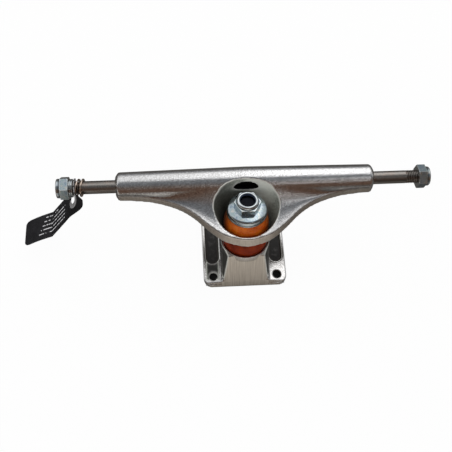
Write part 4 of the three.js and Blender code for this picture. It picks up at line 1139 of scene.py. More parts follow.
step = given["Pitch"] / ROWS_PER_TURN
on_side = row.make("MAXIMUM", 0).make("MINIMUM", side_rows - 1)
from_low = given["Low"] + given["Chamfer"] + on_side * step
from_high = given["High"] - given["Chamfer"] - (side_rows - 1 - on_side) * step
in_low = on_side.make("LESS_THAN", low_rows + 0.5)
side_height = from_low * in_low + from_high * in_low.rest()
is_low_end = row.make("LESS_THAN", -0.5)
is_high_end = row.make("GREATER_THAN", side_rows - 0.5)
is_end = is_low_end + is_high_end
height = side_height * is_end.rest() + given["Low"] * is_low_end + given["High"] * is_high_end

turn_share = height / given["Pitch"] - angle / (2 * math.pi)
groove = (turn_share.make("PINGPONG", 0.5) * 2.6 - 0.3).between(0, 1)
run_in = ((low_rows - on_side) / ROWS_PER_TURN).make("MAXIMUM", (on_side - low_rows - 1) / ROWS_PER_TURN)
side_radius = given["Radius"] - groove * given["Depth"] * run_in.between(0, 1)
is_pole = row.make("LESS_THAN", -1.5) + row.make("GREATER_THAN", side_rows + 0.5)
radius = (side_radius * is_end.rest() + (given["Radius"] - given["Chamfer"]) * is_end) * is_pole.rest()
give_out(bar, wrap_grid(bar, grid, angle, radius, height), given["Finish"], leave)
print("threaded bar rule:", len(bar.nodes), "nodes")


# %% Put a grown piece on its line
def stand(piece, place, along):
    """Turn a mesh that was made about Z onto a line, and keep its object at the origin."""
    towards = Vector(along).to_track_quat("Z", "X").to_matrix().to_4x4()
    piece.data.transform(Matrix.Translation(Vector(place) * MM) @ towards)
    with editing(piece.data) as work:
        bmesh.ops.recalc_face_normals(work, faces=work.faces)


def finish_piece(piece, finish, body, slot, *nodes, sharp=None, edge=(3, 0.12)):
    """Note the edges of a piece and shade it, then dress it."""
    note_edges(piece, *edge)
    soften(piece, sharp)
    dress(piece, finish, body, slot, *nodes)


print("pieces can be stood on their lines")

# %% [markdown]
# ## Hexagons with turned corners
# A nut or bolt head is a hexagon whose corners were turned off in a lathe, which leaves curved arcs on
# each flat. Seen from above, the radius is the smaller of the hexagon's and the cone's, so the same
# wrapping rule makes it, with the two blended a little where they meet.


# %% A rule for hexagons
def hexagon_reach(angles, across_flats):
    folded = (angles + math.pi / 6) % (math.pi / 3) - math.pi / 6
    return across_flats / 2 / np.cos(folded)


def lower_of(one, other, softness):
    """The smaller of two lengths, rounded where they cross."""
    gap = np.clip(0.5 + (other - one) / (2 * softness), 0, 1)
    return other + (one - other) * gap - softness * gap * (1 - gap)


def wrap(name, radii, heights, place, along, turn=0.0):
    """Wrap a table of radii, one row for each height and one column for each angle, about a line."""
    rows, sides = radii.shape
    angles = np.arange(sides) / sides * 2 * math.pi + turn
    rings = np.stack([radii * np.cos(angles), radii * np.sin(angles),
                      np.broadcast_to(heights[:, None], radii.shape)], -1)
    along = np.asarray(along, float)
    first = np.cross([0, 0, 1.0], along) if abs(along[2]) < 0.5 else np.array([1.0, 0, 0])
    first -= along * (first @ along)
    first /= np.linalg.norm(first)
    frame_rows = np.stack([first, np.cross(along, first), along])
    points = np.asarray(place) + rings @ frame_rows
    return make_piece(name, points.reshape(-1, 3), join_rings(rows, sides))


def lock_nut(name, place, along, start, turn, across_flats, hex_height, collar, bore):
    """A hexagon, a collar (diameter, height, wall) rolled over at its top, and a bore through both."""
    sides = 240
    angles = np.arange(sides) / sides * 2 * math.pi
    corner = across_flats / math.sqrt(3)
    collar_radius, collar_height, wall = collar[0] / 2, collar[1], collar[2]
    edge, chamfer = 0.22, across_flats * 0.055
    hexagon = hexagon_reach(angles, across_flats)
    rows = [(0.0, bore), (0.0, bore + 0.5), (0.0, np.minimum(hexagon * 0.97, corner - chamfer))]
    for height in np.linspace(0.05, hex_height, 22):
        low_cone = corner - chamfer * 0.5 + height * 1.7
        high_cone = corner - chamfer * 0.2 + (hex_height - height) * 1.7
        rows.append((height, lower_of(lower_of(hexagon, low_cone, edge), high_cone, edge)))
    top = hex_height + collar_height
    rows += [(hex_height + 0.05, collar_radius + 0.18), (hex_height + 0.3, collar_radius + 0.02),
             (top - wall * 0.75, collar_radius), (top - wall * 0.35, collar_radius - wall * 0.12),
             (top - wall * 0.1, collar_radius - wall * 0.34), (top, collar_radius - wall * 0.62),
             (top - 0.04, collar_radius - wall * 0.86), (top - 0.18, collar_radius - wall),
             (hex_height, collar_radius - wall), (hex_height, bore), (0.0, bore)]
    table = np.array([np.broadcast_to(radius, sides) for _, radius in rows])
    heights = np.array([height for height, _ in rows]) + start
    return wrap(name, table, heights, place, along, turn)


print("hexagon corner of the kingpin's head:", round(HEAD_FLATS / math.sqrt(3), 2), "mm from its middle")

# %% [markdown]
# ## The kingpin and what is stacked on it
# The kingpin is a bolt with its head under the plate. On it sit a flat washer, the lower bushing, the
# hanger's ring, the upper bushing, a cup washer and a lock nut. Turned parts come off the lathe helper.
# Steering squeezes and bends the bushings, but here the lower bushing and the main part of the upper
# one are only set in place, tied to neither the base nor the hanger.

# %% The kingpin
PIN_RADIUS, PIN_TIP, PIN_HEAD_FOOT, PIN_HEAD_TOP = 4.75, 38.5, -20.2, -14.6
# The kingpin wears the near-black steel: painted shade for its tip in the nut's bore.
kingpin = grow(
    "kingpin_bolt", bar, Radius=PIN_RADIUS * MM, Low=(PIN_HEAD_TOP - 2) * MM, High=PIN_TIP * MM,
    Low_Turns=0.0, High_Turns=9.2, Pitch=1.3 * MM, Depth=0.6 * MM, Chamfer=0.8 * MM, Sides=72,
    Finish=shaded_steel)
stand(kingpin, SEAT, UP)
HEAD_SIDES = 240
around = np.arange(HEAD_SIDES) / HEAD_SIDES * 2 * math.pi
head_rows = [(PIN_HEAD_TOP, 0.0), (PIN_HEAD_TOP, 4.0), (PIN_HEAD_TOP, 6.6)]
for height in np.linspace(PIN_HEAD_TOP, PIN_HEAD_FOOT, 24):
    cone = HEAD_FLATS / math.sqrt(3) - 0.5 + (height - PIN_HEAD_FOOT) * 1.7
    head_rows.append((height, lower_of(hexagon_reach(around, HEAD_FLATS), cone, 0.25)))
head_rows += [(PIN_HEAD_FOOT, 6.4), (PIN_HEAD_FOOT, 3.0), (PIN_HEAD_FOOT, 0.0)]
table = np.array([np.broadcast_to(radius, HEAD_SIDES) for _, radius in head_rows])
heights = np.array([height for height, _ in head_rows])
pin_head = wrap("kingpin_head", table, heights, SEAT, UP, math.radians(30))
finish_piece(kingpin, shaded_steel, "base", "dark_steel", "kingpin", sharp=40)
finish_piece(pin_head, shaded_steel, "base", "dark_steel", sharp=50)


# %% Nodes that wrap a grid into a bushing
barrel, given, leave = new_group(
    "urethane_barrel", "GeometryNodeTree",
    [("Bore", "Float", 0.005), ("Foot Radius", "Float", 0.014), ("Top Radius", "Float", 0.014),
     ("Bulge", "Float", 0.0007), ("Foot", "Float", 0.0), ("Top", "Float", 0.012),
     ("Edge", "Float", 0.001), ("Sides", "Int", 128), ("Finish", "Material", None)],
    [("Geometry", "Geometry")],
)
EDGE_ROWS, FLANK_ROWS = 8, 36
last_row = 2 * EDGE_ROWS + FLANK_ROWS + 2
grid, angle, row = flat_grid(barrel, given["Sides"], last_row + 2)
foot_turn = ((row - 1) / EDGE_ROWS).between(0, 1) * (math.pi / 2)
flank = ((row - 1 - EDGE_ROWS) / FLANK_ROWS).between(0, 1)
top_turn = ((row - 1 - EDGE_ROWS - FLANK_ROWS) / EDGE_ROWS).between(0, 1) * (math.pi / 2)
swell = given["Foot Radius"] + (given["Top Radius"] - given["Foot Radius"]) * flank \
    + (flank * math.pi).make("SINE") * given["Bulge"]
skin_radius = swell - given["Edge"] * foot_turn.make("SINE").rest() \
    - given["Edge"] * top_turn.make("COSINE").rest()
skin_height = given["Foot"] + given["Edge"] * foot_turn.make("COSINE").rest() \
    + flank * (given["Top"] - given["Foot"] - given["Edge"] * 2) + given["Edge"] * top_turn.make("SINE")
in_bore = row.make("LESS_THAN", 0.5) + row.make("GREATER_THAN", last_row - 0.5)
back_at_foot = row.make("LESS_THAN", 0.5) + row.make("GREATER_THAN", last_row + 0.5)
radius = skin_radius * in_bore.rest() + given["Bore"] * in_bore
height = skin_height * back_at_foot.rest() + given["Foot"] * back_at_foot
give_out(barrel, wrap_grid(barrel, grid, angle, radius, height), given["Finish"], leave)
print("bushing rule:", len(barrel.nodes), "nodes")

# %% The two bushings
def bushing(name, foot_radius, top_radius, bulge, foot, top, edge, finish):
    return grow(name, barrel, Bore=PIN_BORE * MM, Foot_Radius=foot_radius * MM, Top_Radius=top_radius * MM,
                Bulge=bulge * MM, Foot=foot * MM, Top=top * MM, Edge=edge * MM, Sides=160, Finish=finish)


# The lower bushing wears the darker copy of the urethane: painted shade.
lower = bushing("lower_bushing", 13.7, 13.7, 0.7, 0.3, 12.5, 0.9, shaded_urethane)
upper = bushing("upper_bushing", 14.05, 11.8, 0.7, 17.7, 28.8, 0.9, amber_urethane)
neck = bushing("upper_bushing_neck", 10.5, 10.5, 0.0, 27.8, 32.7, 1.8, amber_urethane)
for piece in (lower, upper, neck):
    stand(piece, SEAT, UP)
SOFT_EDGE = {"sharp": 60, "edge": (6, 0.1)}
finish_piece(lower, shaded_urethane, None, "amber_urethane", "bottom_bushing", **SOFT_EDGE)
finish_piece(upper, amber_urethane, None, "amber_urethane", "top_bushing", **SOFT_EDGE)
finish_piece(neck, amber_urethane, "base", "amber_urethane", **SOFT_EDGE)
# Painted shade: the upper bushing darkens towards its back, inside the hanger's dish.
behind_pin = (places_of(upper.data) - SEAT) @ BACK
store(upper.data, "painted_dish_shade", 0.8 * np.clip((behind_pin + 8) / 7, 0, 1))
for piece, held_end, pressed_end in ((lower, 0.5, 12.3), (upper, 28.6, 17.9)):
    tuple((SEAT + UP * held_end) * MM)
    tuple((SEAT + UP * pressed_end) * MM)
    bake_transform(piece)

# %% The washers
flat_rows = rounded([
    (PIN_BORE, -0.55), (PIN_BORE, -1.1), (14.3, -1.1), (14.3, 0), (PIN_BORE, 0), (PIN_BORE, -0.55)], 0.25)
flat_washer = on_pin("seat_washer", flat_rows, 128)
finish_piece(flat_washer, bright_zinc, "base", "bright_zinc", "bottom_washer", sharp=50)

cup_rows = rounded([
    (PIN_BORE, 33.6, 0), (PIN_BORE, 33.0, 0.2), (9.4, 33.0, 1.0), (11.0, 32.2, 1.0), (11.15, 30.2, 0.5),
    (11.15, 29.4, 0.3), (12.3, 29.4, 0.35), (12.3, 30.4, 0.3), (12.0, 30.9, 0.4), (12.0, 32.9, 0.7),
    (11.3, 33.7, 0.9), (9.9, 34.05, 1.2), (8.0, 34.4, 1.0), (PIN_BORE, 34.45, 0.2), (PIN_BORE, 33.6, 0),
], 0.3, steps=8)
cup_washer = on_pin("cup_washer", cup_rows, 160)
finish_piece(cup_washer, bright_zinc, "base", "bright_zinc", "top_washer", sharp=50)

# %% The lock nut and its nylon
pin_nut = lock_nut("kingpin_lock_nut", SEAT, UP, 34.6, math.radians(30), 14.0, 4.4, (13.2, 2.0, 1.65), 4.9)
finish_piece(pin_nut, bright_zinc, "base", "bright_zinc", "kingpin_nut", sharp=50)


def nylon(name, place, along, inner, outer, low, high):
    """A nylon ring that bulges slightly inwards, as a lock nut's does once it has been used."""
    middle = (low + high) / 2
    rows = rounded([(inner, middle, 0), (inner + 0.25, low, 0.2), (outer, low, 0.1), (outer, high, 0.2),
                    (inner + 0.35, high, 0.4), (inner, middle, 0)], 0.2)
    return lathe(name, rows, place, along, 96)


pin_nylon = nylon("kingpin_nylon", SEAT, UP, 4.3, 4.88, 39.05, 40.5)
finish_piece(pin_nylon, dark_nylon, "base", "dark_nylon", "kingpin_nut_insert", sharp=50)

# %% The pivot cup
CUP_BORE, CUP_FLANGE = 6.35, CUP_RADIUS + 1.2
cup_wall = half_ball(CUP_RADIUS) + [
    (CUP_RADIUS, 7.0), (CUP_FLANGE, 7.0), (CUP_FLANGE, 8.0), (CUP_BORE, 8.0)]
cup_wall += half_ball(CUP_BORE)[::-1]
pivot_cup = lathe("pivot_thimble", rounded(cup_wall, 0.25), PIVOT, STEER, 96)
finish_piece(pivot_cup, black_urethane, "base", "black_urethane", "pivot_cup", sharp=50)

# %% [markdown]
# ## The hanger
# The hanger is the large casting that steers: a barrel round the axle that swells towards the middle, a
# front band that sweeps out to the ring round the kingpin, and an arm to the pivot behind. Its outline
# follows rules, so slices across the axle are lofted, and the dish and the bores are cut out of it.

# %% The rule of the sweep
HANGER_HALF = 78.4
END_TAPER = 2.6
DISH_RADIUS, DISH_FRONT_FLARE, DISH_SIDE_FLARE = 14.4, 0.17, 0.4
SWEEP = [(0, 1), (0.09, 0.962), (0.19, 0.87), (0.3, 0.66), (0.4, 0.425), (0.5, 0.255), (0.61, 0.14),
         (0.73, 0.06), (0.86, 0.018), (1, 0)]


def smooth_line(spots, per_step=24):
    """Points of a smooth line through some spots, as a draughtsman's spline gives it."""
    spots = np.asarray(spots, float)
    padded_spots = np.vstack([spots[0], spots, spots[-1]])
    result = []
    for index in range(len(spots) - 1):
        before, start, end, after = padded_spots[index:index + 4]
        slope_start, slope_end = (end - before) / 2, (after - start) / 2
        for share in np.linspace(0, 1, per_step, endpoint=False):
            square, cube = share ** 2, share ** 3
            result.append((2 * cube - 3 * square + 1) * start + (cube - 2 * square + share) * slope_start
                          + (3 * square - 2 * cube) * end + (cube - square) * slope_end)
    result.append(spots[-1])
    return np.array(result)


sweep_line = smooth_line([(-SWEEP[1][0], SWEEP[1][1]), *SWEEP])


def sweep_share(along):
    return np.interp(along, sweep_line[:, 0], sweep_line[:, 1])


halfway = float(np.interp(-0.5, -sweep_line[:, 1], sweep_line[:, 0])) * HANGER_HALF
print("swept out halfway at", round(halfway, 1), "mm")


# %% A slice of the hanger
def bezier(start, leave, arrive, end, reach_share, steps):
    reach = np.linalg.norm(end - start) * reach_share
    one, two = start + leave * reach, end + arrive * reach
    share = np.linspace(0, 1, steps)[:, None]
    rest = 1 - share
    return rest ** 3 * start + 3 * rest ** 2 * share * one + 3 * rest * share ** 2 * two + share ** 3 * end


NOSE_FOOT = on_kingpin(-17.0, 16.4)[1:]
UP2, BACK2, AXLE2 = UP[1:], BACK[1:], AXLE[1:]


END_FOOT = AXLE2 - BACK2 * 7.6 - UP2 * 4.6
END_BAND, NOSE_BAND = 4.2, 7.6
BARREL_MIDDLE, BARREL_END = 19.2, 17.0
END_SLOPE, NOSE_SLOPE = 24, 47


def band_at(x):
    """Foot and height of the front band on the slice at x, and how far the sweep is out there."""
    share = np.asarray(sweep_share(np.minimum(np.abs(x) / HANGER_HALF, 1)))
    foot = END_FOOT + (NOSE_FOOT - END_FOOT) * share[..., None]
    return foot, END_BAND + (NOSE_BAND - END_BAND) * share, share


def slice_at(x, size=1.0):
    along = min(abs(x) / HANGER_HALF, 1)
    foot, band_height, share = band_at(x)
    radius = (BARREL_MIDDLE + (BARREL_END - BARREL_MIDDLE) * along) / 2
    top = foot + UP2 * band_height
    slope = math.radians(END_SLOPE + (NOSE_SLOPE - END_SLOPE) * share)
    angles = np.linspace(math.pi - slope, -math.pi / 2, 56)
    round_part = AXLE2 + radius * np.column_stack([np.cos(angles), np.sin(angles)])
    under = bezier(round_part[-1], np.array([-1.0, 0]), np.array([math.cos(0.07), math.sin(0.07)]),
                   foot, 0.3, 22)
    band = foot + (top - foot) * np.linspace(0, 1, 8)[:, None]
    over = bezier(top, np.array([math.cos(0.105), math.sin(0.105)]),
                  np.array([-math.sin(slope), -math.cos(slope)]), round_part[0], 0.36, 22)
    outline = np.vstack([round_part, under[1:], band[1:], over[1:-1]])
    outline = AXLE2 + (outline - AXLE2) * size
    return np.column_stack([np.full(len(outline), x), outline])


stations = np.concatenate([np.linspace(0, 44, 76), np.linspace(44, HANGER_HALF - END_TAPER, 40)[1:]])
stations = np.concatenate([-stations[:0:-1], stations])
END_ROWS = [(0.86, 0.993), (0.72, 0.972), (0.57, 0.935), (0.42, 0.885), (0.2, 0.785), (0.06, 0.71),
            (0.0, 0.65)]
ends = [(HANGER_HALF - inward * END_TAPER, size) for inward, size in END_ROWS]
slices = [slice_at(-x, size) for x, size in ends[::-1]]
slices += [slice_at(x) for x in stations] + [slice_at(x, size) for x, size in ends]
hanger = loft("hanger_casting", slices)
print("hanger blank:", len(slices), "slices of", len(slices[0]), "points")

# %% The ring round the kingpin, and the pivot arm
RING_ROWS = [(12.8, 14.3, 14.3, 0), (17.2, 16.7, 16.7, 0), (22.6, 16.7, 18.4, 7.0)]
round_ring = np.linspace(0, 2 * math.pi, 160, endpoint=False)
ring_core = loft("ring_core", [
    on_kingpin(back * np.sin(round_ring), height + lift * np.clip(np.sin(round_ring), 0, 1),
               side * np.cos(round_ring))
    for height, back, side, lift in RING_ROWS])

NECK_REACH = 9.4
ARM_WIDTHS, ARM_DEPTHS = (7.2, 10.5, 17), (7.2, 8, 8)
arm_path = np.array([
    PIVOT + STEER * NECK_REACH, PIVOT + STEER * (NECK_REACH + 9), AXLE + [0, 2.4, -17], AXLE])
arm_rings = []
for share in np.linspace(0, 1, 44):
    rest = 1 - share
    weights = np.array([rest ** 3, 3 * rest ** 2 * share, 3 * rest * share ** 2, share ** 3])
    slope = np.array([-rest ** 2, rest ** 2 - 2 * rest * share, 2 * rest * share - share ** 2, share ** 2])
    heading = slope @ arm_path
    heading /= np.linalg.norm(heading)
    normal = np.cross(heading, ACROSS)
    normal /= np.linalg.norm(normal)
    thirds = np.array([rest ** 2, 2 * share * rest, share ** 2])
    width, depth = thirds @ ARM_WIDTHS, thirds @ ARM_DEPTHS
    angles = np.linspace(0, 2 * math.pi, 72, endpoint=False)
    arm_rings.append(weights @ arm_path + width * np.cos(angles)[:, None] * ACROSS
                     + depth * np.sin(angles)[:, None] * normal)
arm = loft("pivot_arm", arm_rings)
nub_rows = half_ball(6.0) + [(6.0, 8.35), (7.2, 9.75), (0.001, 9.75)]
nub = lathe("pivot_nub", np.array(nub_rows), PIVOT, STEER, 72)
carve(hanger, "UNION", ring_core, arm, nub)
print("hanger blank joined:", len(hanger.data.polygons), "faces")

# %% Cut the dish, the window and the bores
DISH = smooth_line([(0, 14.4), (6.5, 14.45), (13, 14.1), (21, 12.45), (30, 14.9), (39.5, 18.6)], 8)
dish_rings = []
for rise, rear in DISH:
    side_reach, front_reach = DISH_RADIUS + DISH_SIDE_FLARE * rise, DISH_RADIUS + DISH_FRONT_FLARE * rise
    angles = np.linspace(0, 2 * math.pi, 128, endpoint=False)
    reach = np.where(np.sin(angles) > 0, rear, front_reach)
    dish_rings.append(on_kingpin(reach * np.sin(angles), RING_TOP + rise, side_reach * np.cos(angles)))
dish = loft("dish_cut", dish_rings)
WINDOW_HALF_WIDTH, WINDOW_HALF_HEIGHT, WINDOW_LIFT = 7.6, 3.8, 3
oval = np.linspace(0, 2 * math.pi, 72, endpoint=False)
window = loft("window_cut", [np.column_stack([
    WINDOW_HALF_WIDTH * np.cos(oval), np.full(72, y),
    AXLE[2] + WINDOW_LIFT + WINDOW_HALF_HEIGHT * np.sin(oval),
]) for y in (AXLE[1] - 14.4, AXLE[1])])
pin_hole = on_pin("pin_hole", np.array([(0.001, -22), (6.7, -22), (6.7, 19.4), (0.001, 19.4)]), 72)
axle_bore = lathe("axle_bore", np.array([(0.001, -154), (4.27, -154), (4.27, 154), (0.001, 154)]),
                  AXLE, ACROSS, 48)
carve(hanger, "DIFFERENCE", dish, window, pin_hole, axle_bore)
print("hanger cut:", len(hanger.data.polygons), "faces")

# %% Give the hanger one cast skin, with generous fillets where the arm leaves it
remesh(hanger, 0.52)
spots = places_of(hanger.data)
behind = np.clip((spots[:, 1] - AXLE[1] + 6) / 6, 0, 1) * np.clip((52 - spots[:, 2]) / 6, 0, 1)
near_arm = np.clip((34 - np.abs(spots[:, 0])) / 8, 0, 1)
smooth(hanger, 3)
smooth(hanger, 24, behind * near_arm)
note_edges(hanger, 6, 0.35)

spots = places_of(hanger.data)
normals = vectors_of(hanger.data, "normal")
feet, heights, _ = band_at(spots[:, 0])
depth_in = (spots[:, 1:] - feet) @ BACK2
climb = (spots[:, 1:] - feet) @ UP2
rise = (spots - SEAT) @ UP - RING_TOP
back = (spots - SEAT) @ BACK
beside = spots[:, 0]
at_band_height = (climb > -0.6) & (climb < heights + 0.2)
on_band = at_band_height & (np.abs(depth_in) < 0.55) & (normals @ BACK < -0.45)
on_nose = at_band_height & (np.hypot(beside, back) > 15.9) & (back < -4) & (np.abs(beside) < 17) \
    & (np.abs(normals @ UP) < 0.6)
sanded = evened(hanger.data, on_band | on_nose, 2)
store(hanger.data, "sanded", sanded)

# Painted light and shade on the dish's walls: nearly black on the left and front, where shade falls, and a
# lighter painted skin on the right and back, where light falls into the dish.
DISH_SHADE, DISH_GLOW, LIGHT_FROM = 0.84, 0.46, math.radians(60)
rear_reach = np.interp(rise, DISH[:, 0], DISH[:, 1])
reach = np.where(back > 0, rear_reach, DISH_RADIUS + DISH_FRONT_FLARE * rise)
from_wall = np.abs(np.hypot(beside / (DISH_RADIUS + DISH_SIDE_FLARE * rise), back / reach) - 1)
facing_in = -(normals * (spots - SEAT - rise[:, None] * UP)).sum(1) > 0
in_dish = (from_wall < 0.06) & facing_in | (np.abs(rise) < 3) & (np.hypot(beside, back) < 16.4)
in_dish = evened(hanger.data, in_dish & (rise > -0.6))
from_light = np.cos(np.arctan2(back, beside) - LIGHT_FROM)
store(hanger.data, "cast_skin_and_painted_light", in_dish * (DISH_SHADE - DISH_GLOW * np.clip(from_light, 0, 1) ** 1.5))
soften(hanger)
dress(hanger, cast_aluminium, "hanger_group", "cast_aluminium", "hanger")
print("hanger skin:", round(sanded.mean() * 100), "% sanded")

# %% [markdown]
# ## The axle, its nuts and its rings
# The axle is one bar with a thread at each end. On its left stub hang two silver and two gold speed
# rings, the thin washers that run against a wheel's bearings, with the hang tag between the two colours.

# %% The axle
AXLE_RADIUS, AXLE_HALF, AXLE_TURNS = 3.97, 111.125, 11.3
axle = grow(
    "axle_bar", bar, Radius=AXLE_RADIUS * MM, Low=-AXLE_HALF * MM, High=AXLE_HALF * MM,
    Low_Turns=AXLE_TURNS, High_Turns=AXLE_TURNS, Pitch=1.06 * MM, Depth=0.5 * MM, Chamfer=0.6 * MM,
    Sides=64, Finish=dark_steel)
stand(axle, AXLE, ACROSS)
finish_piece(axle, dark_steel, "hanger_group", "dark_steel", "axle", sharp=40)
# Painted shade: inside the hanger the axle is painted near black, as seen through the window; the scale
# attribute marks it.
SHADE_REACH = 59.5
with editing(axle.data) as work:
    for side, step in ((-1, 0.5), (-1, -0.5), (1, -0.5), (1, 0.5)):
        bmesh.ops.bisect_plane(work, geom=work.verts[:] + work.edges[:] + work.faces[:],
                               plane_co=((side * SHADE_REACH + side * step) * MM, 0, 0), plane_no=(1, 0, 0))
store(axle.data, "scale", (np.abs(places_of(axle.data)[:, 0]) < SHADE_REACH).astype(float))

# %% The axle nuts
NUT_FLATS, NUT_HEIGHT, NUT_COLLAR, NUT_BORE = 12.7, 5.0, (11.8, 2.5, 1.0), 4.12
for side, label, start, turn_by in ((-1, "left", 106.2, 21), (1, "right", 106.0, 9)):
    along = ACROSS * side
    nut = lock_nut("axle_lock_nut_" + label, AXLE, along, start, math.radians(turn_by),
                   NUT_FLATS, NUT_HEIGHT, NUT_COLLAR, NUT_BORE)
    finish_piece(nut, bright_zinc, "hanger_group", "bright_zinc", "axle_nut_" + label, sharp=50)
    ring = nylon("axle_nylon_" + label, AXLE, along, NUT_BORE, 4.75, start + 5.15, start + 7.1)
    finish_piece(ring, dark_nylon, "hanger_group", "dark_nylon", "axle_nut_insert_" + label, sharp=50)

# %% Nodes that string thin rings on a line
strung, given, leave = new_group(
    "strung_rings", "GeometryNodeTree",
    [("Count", "Int", 2), ("Step", "Float", 0.0011), ("Bore", "Float", 0.0042), ("Radius", "Float", 0.0056),
     ("Thickness", "Float", 0.0008), ("Edge", "Float", 0.0002), ("Tilt", "Float", 0.0),
     ("Tilt Step", "Float", 0.0), ("Finish", "Material", None)],
    [("Geometry", "Geometry")],
)
width = given["Radius"] - given["Bore"]
middle = (given["Radius"] + given["Bore"]) * 0.5
section = add_node(strung, "GeometryNodeCurvePrimitiveQuadrilateral", {
    "Width": width, "Height": given["Thickness"]}, mode="RECTANGLE")
eased = add_node(strung, "GeometryNodeFilletCurve", {
    "Curve": section.outputs[0], "Count": 3, "Radius": given["Edge"]}, mode="POLY")
hoop = add_node(strung, "GeometryNodeCurvePrimitiveCircle", {
    "Resolution": 96, "Radius": middle}, mode="RADIUS")
ring_mesh = add_node(strung, "GeometryNodeCurveToMesh", {
    "Curve": hoop.outputs["Curve"], "Profile Curve": eased.outputs["Curve"]})
stride = add_node(strung, "ShaderNodeCombineXYZ", {"Z": given["Step"]})
line = add_node(strung, "GeometryNodeMeshLine", {"Count": given["Count"], "Offset": stride.outputs[0]})
number = Number(strung, add_node(strung, "GeometryNodeInputIndex").outputs[0])
tip = add_node(strung, "ShaderNodeCombineXYZ", {"X": given["Tilt"] + number * given["Tilt Step"]})
placed = add_node(strung, "GeometryNodeInstanceOnPoints", {
    "Points": line.outputs["Mesh"], "Instance": ring_mesh.outputs["Mesh"], "Rotation": tip.outputs[0]})
give_out(strung, placed.outputs[0], given["Finish"], leave)
print("strung rings:", len(strung.nodes), "nodes")

# %% The silver and the gold rings
silver = grow("silver_speed_rings", strung, Count=2, Step=1.1 * MM, Thickness=0.8 * MM, Finish=bright_zinc)
stand(silver, AXLE + [-105.5, 0, 0], ACROSS)
finish_piece(silver, bright_zinc, "hanger_group", "bright_zinc", sharp=50, edge=(3, 0.08))
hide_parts("speed_ring_silver_outer", "speed_ring_silver_inner")
gold = grow("gold_speed_rings", strung, Count=2, Step=2.8 * MM, Thickness=0.8 * MM,
            Tilt=math.radians(-13.5), Tilt_Step=math.radians(3.5), Finish=gold_zinc)
stand(gold, AXLE + [-101.2, 0, 0], ACROSS)
finish_piece(gold, gold_zinc, "gold_rings", "gold_zinc", sharp=50, edge=(3, 0.08))
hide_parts("speed_ring_gold_outer", "speed_ring_gold_inner")

# %% [markdown]
# ## The hang tag
# The tag is a strip of black card, punched near its top, slipped over the axle and folded once. It could
# be a cloth simulation, but stiff card bends only one way, so rows across the strip follow a smooth line
# and its edges curl a little. Its print is only thin broken lines, drawn from the card's own UV map.

# %% The strip's middle line and its width
TAG_TOP = AXLE + [-102.8, 0, 0]
TAG_END = np.array([-38, -8.4, -43.0])
LINE_SHARES = [(0, 0, 0), (0.042, 0.119, 0.209), (0.163, 0.333, 0.384), (0.321, 0.595, 0.558),
               (0.495, 0.869, 0.744)]
TAG_HALF_WIDTH, TAG_HEAD, TAG_THICKNESS = 8.7, 5.8, 0.56
REAR_WIDEN_DROP, FRONT_WIDEN_DROP = 9.0, 4.0
HOLE_RADIUS, HOLE_DROP = 4.4, 10.4
EDGE_CURL, CURL_START, CURL_END_SHARES = 4.6, 5.2, (0.3, 0.62)
CORNERS = [(0, 1), (0.83, 1), (0.93, 0.95), (0.98, 0.85), (1, 0.72)]

tag_line = np.vstack([(0, 0, TAG_HEAD), np.array(LINE_SHARES) * TAG_END])
hang_line = smooth_line(tag_line, 18)
crease, fold = tag_line[-1], TAG_END - tag_line[-1]


def eased(value, low, high):
    share = np.clip((value - low) / (high - low), 0, 1)
    return share * share * (3 - 2 * share)


def half_widths_at(rise, across):
    """The head is round about the axle. The card widens below it, sooner at its front edge."""
    head = math.sqrt(max(TAG_HEAD ** 2 - max(rise, 0) ** 2, TAG_HEAD))
    rear_share = eased(-rise, 0, REAR_WIDEN_DROP)
    front_share = eased(FRONT_WIDEN_DROP - rise, 0, FRONT_WIDEN_DROP)
    return head + (TAG_HALF_WIDTH - head) * np.where(across > 0, front_share, rear_share)


def tag_rows():
    """Rows of points across the strip: the middle surface and the direction that it faces."""
    across = np.linspace(-1, 1, 45)
    rows, faces = [], []
    for index, centre in enumerate(hang_line):
        hang = index / (len(hang_line) - 1)
        before, after = hang_line[max(index - 1, 0)], hang_line[min(index + 1, len(hang_line) - 1)]
        heading = after - before
        side = across * half_widths_at(centre[2], across)
        out = np.maximum(side - CURL_START, 0) / (TAG_HALF_WIDTH - CURL_START)
        curl = EDGE_CURL * out * (1 - eased(hang, *CURL_END_SHARES))
        rows.append(centre + np.column_stack([curl, -side, np.zeros(len(across))]))
        facing = np.array([heading[2], 0, -heading[0]])
        faces.append(facing / np.linalg.norm(facing))
    lift = np.array([fold[2], 0, -fold[0]])
    lift /= np.linalg.norm(lift)
    for along in np.concatenate([np.linspace(0.03, 0.83, 26), np.linspace(0.85, 1, 14)]):
        width = np.interp(along, *np.array(CORNERS).T) * TAG_HALF_WIDTH
        bow = 0.7 * math.sin(math.pi * along)
        rows.append(crease + fold * along + lift * bow + np.column_stack(
            [np.zeros(len(across)), -across * width, np.zeros(len(across))]))
        faces.append(lift)
    return np.array(rows), np.array(faces)


middle_rows, facings = tag_rows()
offset = facings[:, None, :] * TAG_THICKNESS / 2
tag_rings = np.concatenate([middle_rows + offset, (middle_rows - offset)[:, ::-1]], axis=1)
tag = loft("card_tag", tag_rings + TAG_TOP)
hole = np.vstack([arc((0, 0), HOLE_RADIUS, 0, 180, 40), arc((0, -HOLE_DROP), HOLE_RADIUS, 180, 360, 40)])
punch = loft("punch", [np.column_stack([np.full(80, x), hole]) + TAG_TOP for x in (-5.8, 5.8)])
carve(tag, "DIFFERENCE", punch)
print("tag:", len(tag.data.polygons), "faces")

